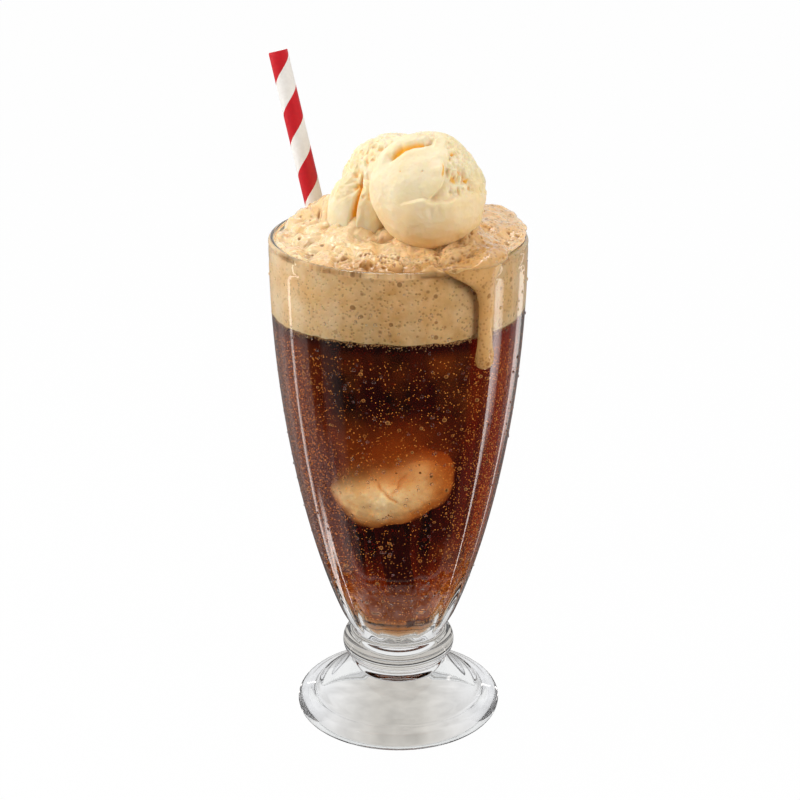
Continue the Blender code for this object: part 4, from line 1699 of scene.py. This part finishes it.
@dataclass
class SunkScoop(Scoop):
    """The scoop that is sunk in the drink: a rounded lump with a forked crack, close to the wall."""

    radii: tuple = (20.8, 17.0, 15.2)
    roll: float = math.radians(17.0)
    cracks: tuple = (
        spots((-4.4, 0.6), (-1.8, -3.6), (1.6, -6.4)),
        spots((-0.4, -3.8), (2.8, -0.6), (4.4, 3.4)),
    )

    def reach(self, directions: Array) -> tuple:
        """Shape of the scoop: a rolled ellipsoid with slow swells, the crack and a shaded lower edge.

        Args:
            directions: Unit directions from its start point.

        Returns:
            Distance of the surface in each direction, and the share of painted shade in its cracks and at its
            lower edge.
        """
        turned = directions.copy()
        turned[..., 0] = directions[..., 0] * math.cos(self.roll) + directions[..., 2] * math.sin(self.roll)
        turned[..., 2] = directions[..., 2] * math.cos(self.roll) - directions[..., 0] * math.sin(self.roll)
        reach = exit_distance(turned, np.zeros(3), np.zeros(3), np.array(self.radii))
        places = directions * reach[..., None] * MM
        right, up, near = ScoopView().seen(places)
        right = right + 1.1 * fractal_noise(places, 3.0 * MM, 3, 78)
        up = up + 1.1 * fractal_noise(places, 3.0 * MM, 3, 79)
        shown = smooth_step(near, 0.0, 4.0)
        relief = np.zeros(right.shape)
        cleft = np.zeros(right.shape)
        for crack in self.cracks:
            off, along = line_distance(right, up, crack)
            line = bell(off, 0.55) * shown * smooth_step(along, 0.0, 0.2)
            relief -= 0.9 * line
            cleft = np.maximum(cleft, 0.45 * line)
        relief += 1.6 * fractal_noise(places, 9.0 * MM, 4, 71)
        relief += 1.2 * mound(right, up, Spot(-9.0, -3.0), 7.0, 6.0) * shown
        relief += 2.6 * mound(right, up, Spot(10.0, 7.0), 7.0, 7.0)
        relief -= 1.2 * mound(right, up, Spot(0.5, 6.0), 4.0, 6.0)
        relief += 0.5 * fractal_noise(places, 3.0 * MM, 3, 77)
        shade = smooth_step(near + 3.0 * fractal_noise(places, 6.0 * MM, 3, 75) - 0.22 * right, 15.5, 6.0)
        return (reach + relief) * MM, np.maximum(cleft, 0.9 * shade)


@dataclass
class Haze:
    """Melted ice cream that drifts in the drink, as curved sheets at a few depths behind the wall."""

    form: GlassForm
    depths: tuple = (3.0 * MM, 7.5 * MM, 12.0 * MM)
    least_radius: float = 2.0 * MM
    low: float = 42.5 * MM
    high: float = 157.0 * MM
    half_width: float = 100.0
    rows_count: int = 160
    columns: int = 200

    def build(self, look: Material) -> None:
        """Makes each sheet. Its haze is cloudy, and thickest above the sunk scoop and at the bottom; it is a
        little thicker at the sides as painted light.

        Args:
            look: Their material.
        """
        z = np.linspace(self.low, self.high, self.rows_count)[:, None]
        azimuth = np.linspace(-self.half_width, self.half_width, self.columns)[None, :]
        first = np.arange(self.rows_count - 1)[:, None] * self.columns
        here = np.arange(self.columns - 1)
        faces = grid_faces(first, first + self.columns, here, here + 1)
        for number, depth in enumerate(self.depths):
            name = f"haze_{number}"
            places = around(azimuth, np.maximum(self.form.inner(z) - depth, self.least_radius), z)
            cloud = fractal_noise(places, 15.0 * MM, 4, 83 + 10 * number)
            halo = mound(places[..., 0] / MM, places[..., 2] / MM, Spot(-5.0, 117.0), 16.0, 9.0)
            share = 0.24 * smooth_step(cloud, 0.0, 0.9) + 0.55 * halo * smooth_step(cloud, -0.8, 0.5)
            # Painted light: the glowing haze is thicker at the sides, most at the left.
            share = share + 0.15 * smooth_step(azimuth, -30.0, -70.0)
            share = share + 0.03 * smooth_step(azimuth, 30.0, 70.0)
            share = share + 0.78 * smooth_step(z, 64.0 * MM, 47.0 * MM)
            edge = band(z, self.low, self.low + 1.5 * MM, self.high - 5.0 * MM, self.high)
            edge = edge * smooth_step(np.abs(azimuth), self.half_width - 2.0, self.half_width - 20.0)
            mesh = fill_mesh(name, places.reshape(-1, 3), faces)
            store(mesh, "haze", share * edge)
            add_piece(name, mesh, look, Slot.COLA)


@dataclass
class PaperStraw:
    """The straw: a paper tube, open at both ends, that leans on the rim."""

    radius: float = 3.45 * MM
    wall: float = 0.5 * MM
    foot: tuple = (4.9 * MM, 0.1 * MM, 39.6 * MM)
    tip: tuple = (-42.6 * MM, 35.2 * MM, 242.0 * MM)
    sides: int = 64
    bevel: float = 0.12 * MM
    stripe_turn: float = 0.018

    def build(self, look: Material) -> None:
        """Carries a ring up the outside, over the end, down the inside and back.

        Args:
            look: Its material.
        """
        foot = np.array(self.foot)
        run = np.array(self.tip) - foot
        length = float(np.linalg.norm(run))
        along = run / length
        side = np.cross(along, (0.0, 1.0, 0.0))
        side /= np.linalg.norm(side)
        other = np.cross(along, side)
        inner = self.radius - self.wall
        edge = [self.radius - self.bevel, inner + self.bevel]
        outside = np.linspace(self.bevel, length - self.bevel, 60)
        walls = np.ones(len(outside))
        radii = np.concatenate([self.radius * walls, edge, inner * walls, edge[::-1]])
        lengths = np.concatenate([outside, [length, length], outside[::-1], [0.0, 0.0]])
        angle = np.radians(full_turn(self.sides))
        ring = np.cos(angle)[:, None] * side + np.sin(angle)[:, None] * other
        rows = foot + lengths[:, None, None] * along + radii[:, None, None] * ring
        here = np.arange(self.sides)
        low = (np.arange(len(rows)) * self.sides)[:, None]
        faces = grid_faces(low, np.roll(low, -1), here, np.roll(here, -1))
        mesh = fill_mesh("paper_straw", rows.reshape(-1, 3), faces)
        self.wrap(mesh, lengths)
        add_piece("paper_straw", mesh, look, Slot.STRAW, "straw")

    def wrap(self, mesh: Mesh, lengths: Array) -> None:
        """Adds the UV map: u goes once round, and v is the distance from the foot.

        Args:
            mesh: The straw's mesh.
            lengths: Distance of each row from the foot.
        """
        corners = np.empty(len(mesh.loops), np.int32)
        mesh.loops.foreach_get("vertex_index", corners)
        turn = ((corners % self.sides) / self.sides).reshape(-1, 4)
        crossing = (turn.max(axis=1) - turn.min(axis=1)) > 0.5
        turn = np.where(crossing[:, None] & (turn < 0.5), turn + 1.0, turn)
        uv = np.stack([turn.ravel() + self.stripe_turn, lengths[corners // self.sides]], axis=1)
        mesh.uv_layers.new(name="paper").data.foreach_set("uv", uv.astype(np.float32).ravel())


def low_ball() -> tuple:
    """A small ball: an octahedron.

    Returns:
        Its places and faces.
    """
    axes = np.array([[1, 0, 0], [0, 1, 0], [0, 0, 1], [-1, 0, 0], [0, -1, 0], [0, 0, -1]], float)
    faces = np.array([[0, 1, 2], [1, 3, 2], [3, 4, 2], [4, 0, 2], [1, 0, 5], [3, 1, 5], [4, 3, 5], [0, 4, 5]])
    return axes, faces


def fine_ball() -> tuple:
    """A rounder ball: the octahedron with each face cut in four.

    Returns:
        Its places and faces.
    """
    axes, faces = low_ball()
    places = [tuple(p) for p in axes]
    index = {}
    cut = []
    for a, b, c in faces.tolist():
        mids = []
        for first, second in ((a, b), (b, c), (c, a)):
            key = (min(first, second), max(first, second))
            if key not in index:
                middle = np.array(places[first]) + np.array(places[second])
                index[key] = len(places)
                places.append(tuple(middle / np.linalg.norm(middle)))
            mids.append(index[key])
        ab, bc, ca = mids
        cut += [(a, ab, ca), (ab, b, bc), (ca, bc, c), (ab, bc, ca)]
    return np.array(places), np.array(cut)


def scatter(name: str, ball: tuple, centres: Array, radii: Array) -> Mesh:
    """Joins copies of a ball into one mesh.

    Args:
        name: The mesh's name.
        ball: Places and faces of the ball.
        centres: Where the copies lie.
        radii: The radius of each.

    Returns:
        The mesh.
    """
    places, faces = ball
    spread = centres[:, None, :] + radii[:, None, None] * places[None, :, :]
    joined = faces[None, :, :] + (np.arange(len(centres)) * len(places))[:, None, None]
    return fill_mesh(name, spread.reshape(-1, 3), joined.reshape(-1, 3))


@dataclass
class Fizz:
    """Bubbles in the drink: fine ones at the wall, larger ones in strings, and a fringe under the foam."""

    form: GlassForm
    boundary: Boundary
    fine_count: int = 12000
    large_count: int = 260
    fringe_count: int = 2600
    band_azimuth: float = 60.0
    band_spread: float = 14.0
    banded_share: float = 0.35
    string_step: float = 6.0

    def near_wall(self, azimuth: Array, radii: Array, z: Array, depth: Array | float = 0.0) -> Array:
        """Centres of bubbles that lie at a depth behind the inside of the glass."""
        return around(azimuth, self.form.inner(z) - radii - SKIN_GAP - depth, z)

    def build(self, points: Material, rings: Material, fringe: Material) -> None:
        """Makes the fine bubbles, the fringe and the large bubbles, by one seeded draw.

        Args:
            points: Material of the fine bubbles.
            rings: Material of the large bubbles.
            fringe: Material of the fringe.
        """
        draw = np.random.default_rng(41)
        count = self.fine_count
        z = (43.0 + 110.0 * draw.uniform(0.0, 1.0, count) ** 0.9) * MM
        sides = np.sign(draw.uniform(-1.0, 1.0, count))
        banded = sides * draw.normal(self.band_azimuth, self.band_spread, count)
        in_band = draw.uniform(0.0, 1.0, count) < self.banded_share
        azimuth = np.where(in_band, banded, draw.uniform(-180.0, 180.0, count))
        radii = draw.uniform(0.09, 0.25, count) * MM
        depth = draw.exponential(1.3, count).clip(0.0, 9.0) * MM
        centres = self.near_wall(azimuth, radii, z, depth)
        add_piece("fizz", scatter("fizz", low_ball(), centres, radii), points, Slot.COLA)

        count = self.fringe_count
        azimuth = draw.uniform(-180.0, 180.0, count)
        radii = draw.uniform(0.08, 0.26, count) * MM
        below = draw.exponential(0.55, count) * MM
        wall = self.near_wall(azimuth, radii, np.array(self.boundary.height))
        lift = self.boundary.rise(wall[:, 0], wall[:, 1], self.form.top_radius)
        centres = self.near_wall(azimuth, radii, self.boundary.height + lift - below)
        add_piece("fringe", scatter("fringe", fine_ball(), centres, radii), fringe, Slot.FOAM)

        count = self.large_count
        z = draw.uniform(42.0, 150.0, count) * MM
        azimuth = np.round(draw.uniform(-180.0, 180.0, count) / self.string_step) * self.string_step
        azimuth = azimuth + draw.normal(0.0, 0.8, count)
        radii = draw.uniform(0.35, 0.85, count) * MM
        depth = draw.uniform(0.1, 3.0, count) * MM
        centres = self.near_wall(azimuth, radii, z, depth)
        add_piece("bubbles", scatter("bubbles", fine_ball(), centres, radii), rings, Slot.COLA)


@dataclass
class Dew:
    """Small drops of condensation outside the bowl."""

    form: GlassForm
    count: int = 1500
    drip_azimuth: float = 40.5
    clear_of_drip: float = 7.0
    flatness: float = 0.55

    def build(self, look: Material) -> None:
        """Joins flattened balls that lie on the wall, of uneven size by a seeded draw.

        Args:
            look: Their material.
        """
        draw = np.random.default_rng(61)
        places, faces = fine_ball()
        z = (46.0 + 132.0 * draw.uniform(0.0, 1.0, self.count) ** 0.8) * MM
        azimuth = draw.uniform(-180.0, 180.0, self.count)
        keep = np.abs(azimuth - self.drip_azimuth) > self.clear_of_drip
        z = z[keep]
        azimuth = azimuth[keep]
        radii = draw.uniform(0.16, 0.78, len(z)) ** 1.4 * MM
        wall = self.form.outer(z) + self.form.flute_depth * self.form.from_flute(azimuth) ** 2
        out = around(azimuth, 1.0, 0.0)
        side = around(azimuth + 90.0, 1.0, 0.0)
        up = np.array([0.0, 0.0, 1.0])
        centres = around(azimuth, wall - 0.02 * MM, z)
        local = places[None, :, :] * radii[:, None, None]
        drops = centres[:, None, :] + self.flatness * local[..., :1] * out[:, None, :]
        drops = drops + local[..., 1:2] * side[:, None, :] + local[..., 2:] * up
        joined = faces[None, :, :] + (np.arange(len(z)) * len(places))[:, None, None]
        add_piece("dew", fill_mesh("dew", drops.reshape(-1, 3), joined.reshape(-1, 3)), look, Slot.GLASS)


@dataclass
class Studio:
    """The camera, the pale floor, the white surroundings and the soft lights."""

    distance: float = 0.6644
    height: float = 0.3817
    side: float = 0.0006
    pitch: float = math.radians(21.26)
    lens: float = 89.4
    sensor: float = 36.0
    aim_height: float = 0.13
    seen_through: float = 0.88
    seen_under: float = 0.62
    seen_far: float = 0.16
    seen_right: float = 0.14
    floor_half: float = 3.0
    wedges: tuple = (
        (-102.5, 1.4, 4.0),
        (99.0, 1.4, 4.5),
        (-61.0, 4.0, 0.25),
        (118.0, 3.0, 0.3),
        (140.0, 2.0, 1.4),
    )

    def add_camera(self) -> None:
        """Adds the camera at the photograph's viewing angle."""
        data = bpy.data.cameras.new("camera")
        data.sensor_width = self.sensor
        data.lens = self.lens
        camera = bpy.data.objects.new("camera", data)
        camera.location = (self.side, -self.distance, self.height)
        camera.rotation_euler = (math.pi / 2.0 - self.pitch, 0.0, 0.0)
        bpy.context.scene.collection.objects.link(camera)
        bpy.context.scene.camera = camera

    def add_floor(self) -> None:
        """Adds a plain pale floor, white to the camera, pale through glass and dim in mirror reflections."""
        half = self.floor_half
        corners = [(-half, -half, 0.0), (half, -half, 0.0), (half, half, 0.0), (-half, half, 0.0)]
        mesh = bpy.data.meshes.new("floor")
        mesh.from_pydata(corners, [], [(0, 1, 2, 3)])
        floor = bpy.data.objects.new("floor", mesh)
        bpy.context.scene.collection.objects.link(floor)
        sheet = Sheet("floor")
        sheet.dress(Base_Color=(0.72, 0.72, 0.72), Roughness=0.8)
        path = sheet.add("LightPath").outputs
        place = sheet.add("SeparateXYZ", {0: sheet.here()}).outputs
        aside = sheet.math("ABSOLUTE", place["X"])
        tone = sheet.mix(sheet.ramp(aside, 0.008, 0.030, 0.0, 1.0), (1.0, 0.95, 0.88), (0.98, 0.98, 1.0))
        pale = sheet.emission(tone, self.seen_through_glass(sheet, place, aside))
        mirrored = sheet.emission((1.0, 0.94, 0.90), self.seen_in_reflections(sheet, place))
        seen = sheet.math("MULTIPLY", path["Is Camera Ray"], 0.985)
        surface = sheet.either(seen, sheet.shader.outputs[0], sheet.emission(WHITE, 1.0))
        surface = sheet.either(path["Is Glossy Ray"], surface, mirrored)
        surface = sheet.either(path["Is Transmission Ray"], surface, pale)
        sheet.join(surface, sheet.output.inputs["Surface"])
        mesh.materials.append(sheet.material)

    def seen_through_glass(self, sheet: Sheet, place: bpy.types.NodeOutputs, aside: Socket) -> Socket:
        """Strength of the floor behind clear glass: dark in front, pale under the glass, dim far behind it.

        Args:
            sheet: The floor's material.
            place: The place on the floor, by axis.
            aside: Distance from the middle to either side.

        Returns:
            The strength.
        """
        front = sheet.ramp(place["Y"], -0.041, -0.028, 0.03, 1.0)
        under = sheet.ramp(aside, 0.006, 0.032, self.seen_under, self.seen_through)
        right = sheet.ramp(place["X"], 0.045, 0.11, 1.0, self.seen_right)
        near = sheet.math("MULTIPLY", front, sheet.math("MULTIPLY", under, right))
        far = sheet.ramp(place["Y"], 0.14, 0.28, 0.0, self.seen_through - self.seen_far)
        inside = sheet.ramp(aside, 0.10, 0.24, 1.0, 0.0)
        total = sheet.math("SUBTRACT", near, sheet.math("MULTIPLY", far, inside))
        total = sheet.math("MAXIMUM", total, 0.03)
        uneven = sheet.ramp(sheet.noise(110.0, 3.0), 0.30, 0.70, 0.84, 1.10)
        return sheet.math("MULTIPLY", total, uneven)

    def seen_in_reflections(self, sheet: Sheet, place: bpy.types.NodeOutputs) -> Socket:
        """Strength of the floor in mirror reflections: dim in front, with narrow bright wedges at the sides.

        The wedges give the glass its upright streaks of light. Each has a bearing in degrees from the front,
        as seen from the glass's axis, half a width in degrees and a strength.

        Args:
            sheet: The floor's material.
            place: The place on the floor, by axis.

        Returns:
            The strength.
        """
        total = sheet.ramp(place["Y"], 0.0, 0.25, 0.04, 0.35)
        ahead = sheet.math("MULTIPLY", place["Y"], -1.0)
        bearing = sheet.math("ARCTAN2", place["X"], ahead)
        for middle, half, strength in self.wedges:
            off = sheet.math("ABSOLUTE", sheet.math("SUBTRACT", bearing, math.radians(middle)))
            wedge = sheet.ramp(off, math.radians(0.3 * half), math.radians(half), strength, 0.0)
            total = sheet.math("ADD", total, wedge)
        return total

    def add_world(self) -> None:
        """Surrounds the scene with light: white to the camera, and otherwise brighter behind than in front.

        Mirror reflections get nearly no light from the front, and neither they nor clear glass get much from
        the sides.
        """
        world = bpy.data.worlds.new("surroundings")
        bpy.context.scene.world = world
        world.use_nodes = True
        tree = Tree(world.node_tree)
        axis = tree.add("SeparateXYZ", {0: tree.add("TexCoord").outputs["Generated"]}).outputs
        path = tree.add("LightPath").outputs
        clear = tree.ramp(axis["Y"], -0.5, 0.4, 0.55, 0.88)
        mirrored = tree.ramp(axis["Y"], -0.1, 0.45, 0.04, 0.88)
        edge = tree.ramp(tree.math("ABSOLUTE", axis["X"]), 0.72, 0.92, 1.0, 0.12)
        strength = tree.ramp(axis["Y"], -0.7, 0.5, 0.34, 0.58)
        for kind, source in (("Is Glossy Ray", mirrored), ("Is Transmission Ray", clear)):
            strength = tree.mix(path[kind], strength, tree.math("MULTIPLY", source, edge), "FLOAT")
        strength = tree.mix(path["Is Camera Ray"], strength, 1.0, "FLOAT")
        tree.fill(world.node_tree.nodes["Background"], {"Color": WHITE, "Strength": strength})

    def add_light(self, name: str, place: tuple, size: tuple, power: float, mirrored: bool) -> None:
        """Adds a soft box that faces the middle of the glass.

        Args:
            name: The light's name.
            place: Where it stands.
            size: Its width and height.
            power: Its power in watts.
            mirrored: Whether it shows in reflections.
        """
        data = bpy.data.lights.new(name, "AREA")
        data.shape = "RECTANGLE"
        data.size, data.size_y = size
        data.energy = power
        light = bpy.data.objects.new(name, data)
        light.location = place
        light.visible_transmission = False
        light.visible_glossy = mirrored
        aim = Vector(place) - Vector((0.0, 0.0, self.aim_height))
        light.rotation_euler = aim.to_track_quat("Z", "Y").to_euler()
        bpy.context.scene.collection.objects.link(light)

    def build(self) -> None:
        """Sets up the studio."""
        self.add_camera()
        self.add_floor()
        self.add_world()
        self.add_light("left_box", (-0.55, 0.02, 0.36), (0.20, 0.50), 2.2, False)
        self.add_light("right_box", (0.50, -0.30, 0.36), (0.30, 0.40), 1.9, False)
        self.add_light("key_box", (-0.34, -0.40, 0.62), (0.26, 0.26), 1.15, False)
        self.add_light("top_box", (-0.06, 0.20, 0.80), (0.30, 0.26), 1.1, True)
        scene = bpy.context.scene
        scene.view_settings.view_transform = "Standard"
        scene.cycles.max_bounces = 20
        scene.cycles.transmission_bounces = 16
        scene.cycles.transparent_max_bounces = 16
        scene.cycles.use_denoising = True


def main() -> None:
    """Builds the studio and every piece of the float."""
    logging.basicConfig(level=logging.INFO, format="%(name)s: %(message)s")
    effects = Effects()
    form = GlassForm()
    boundary = Boundary()
    Studio().build()
    SodaGlass(form).build(ClearGlass().build())
    Drink(form, boundary).build(ColaLiquid().build())
    FoamHead(form, boundary).build(FoamSkin().build(effects))
    vanilla = IceCreamSkin().build(effects)
    FrontScoop("front_scoop", ("scoop_front",), np.array([11.4, -11.0, 203.1]) * MM).build(vanilla)
    BackScoop("back_scoop", ("scoop_back",), np.array([-6.4, 9.0, 194.5]) * MM).build(vanilla)
    # The sunk scoop's crack colour is painted shade, and its glow is painted light that shows it through the
    # dark drink.
    pale, shaded, crack = (0.98, 0.74, 0.42), (0.80, 0.48, 0.19), (0.55, 0.20, 0.035)
    sunk = IceCreamSkin("sunk_ice_cream", pale, shaded, crack, 0.38, True)
    SunkScoop("sunk_scoop", (), np.array([-2.5, -16.6, 101.0]) * MM).build(sunk.build(effects))
    Haze(form).build(HazeSkin().build())
    PaperStraw().build(StripedPaper().build(effects))
    # Painted light: golden glints on the fine bubbles, bright rims on the large ones and a glow on all of
    # them.
    points = BubbleSkin("fizz", (1.0, 0.47, 0.11), (0.80, 0.27, 0.04), 0.36)
    rings = BubbleSkin("bubbles", (0.13, 0.045, 0.012), (1.0, 0.56, 0.20), 0.34)
    fringe = BubbleSkin("fringe", (0.44, 0.21, 0.065), (0.80, 0.50, 0.24), 0.10)
    Fizz(form, boundary).build(points.build(), rings.build(), fringe.build())
    Dew(form).build(Water().build())


if __name__ == "__main__":
    main()
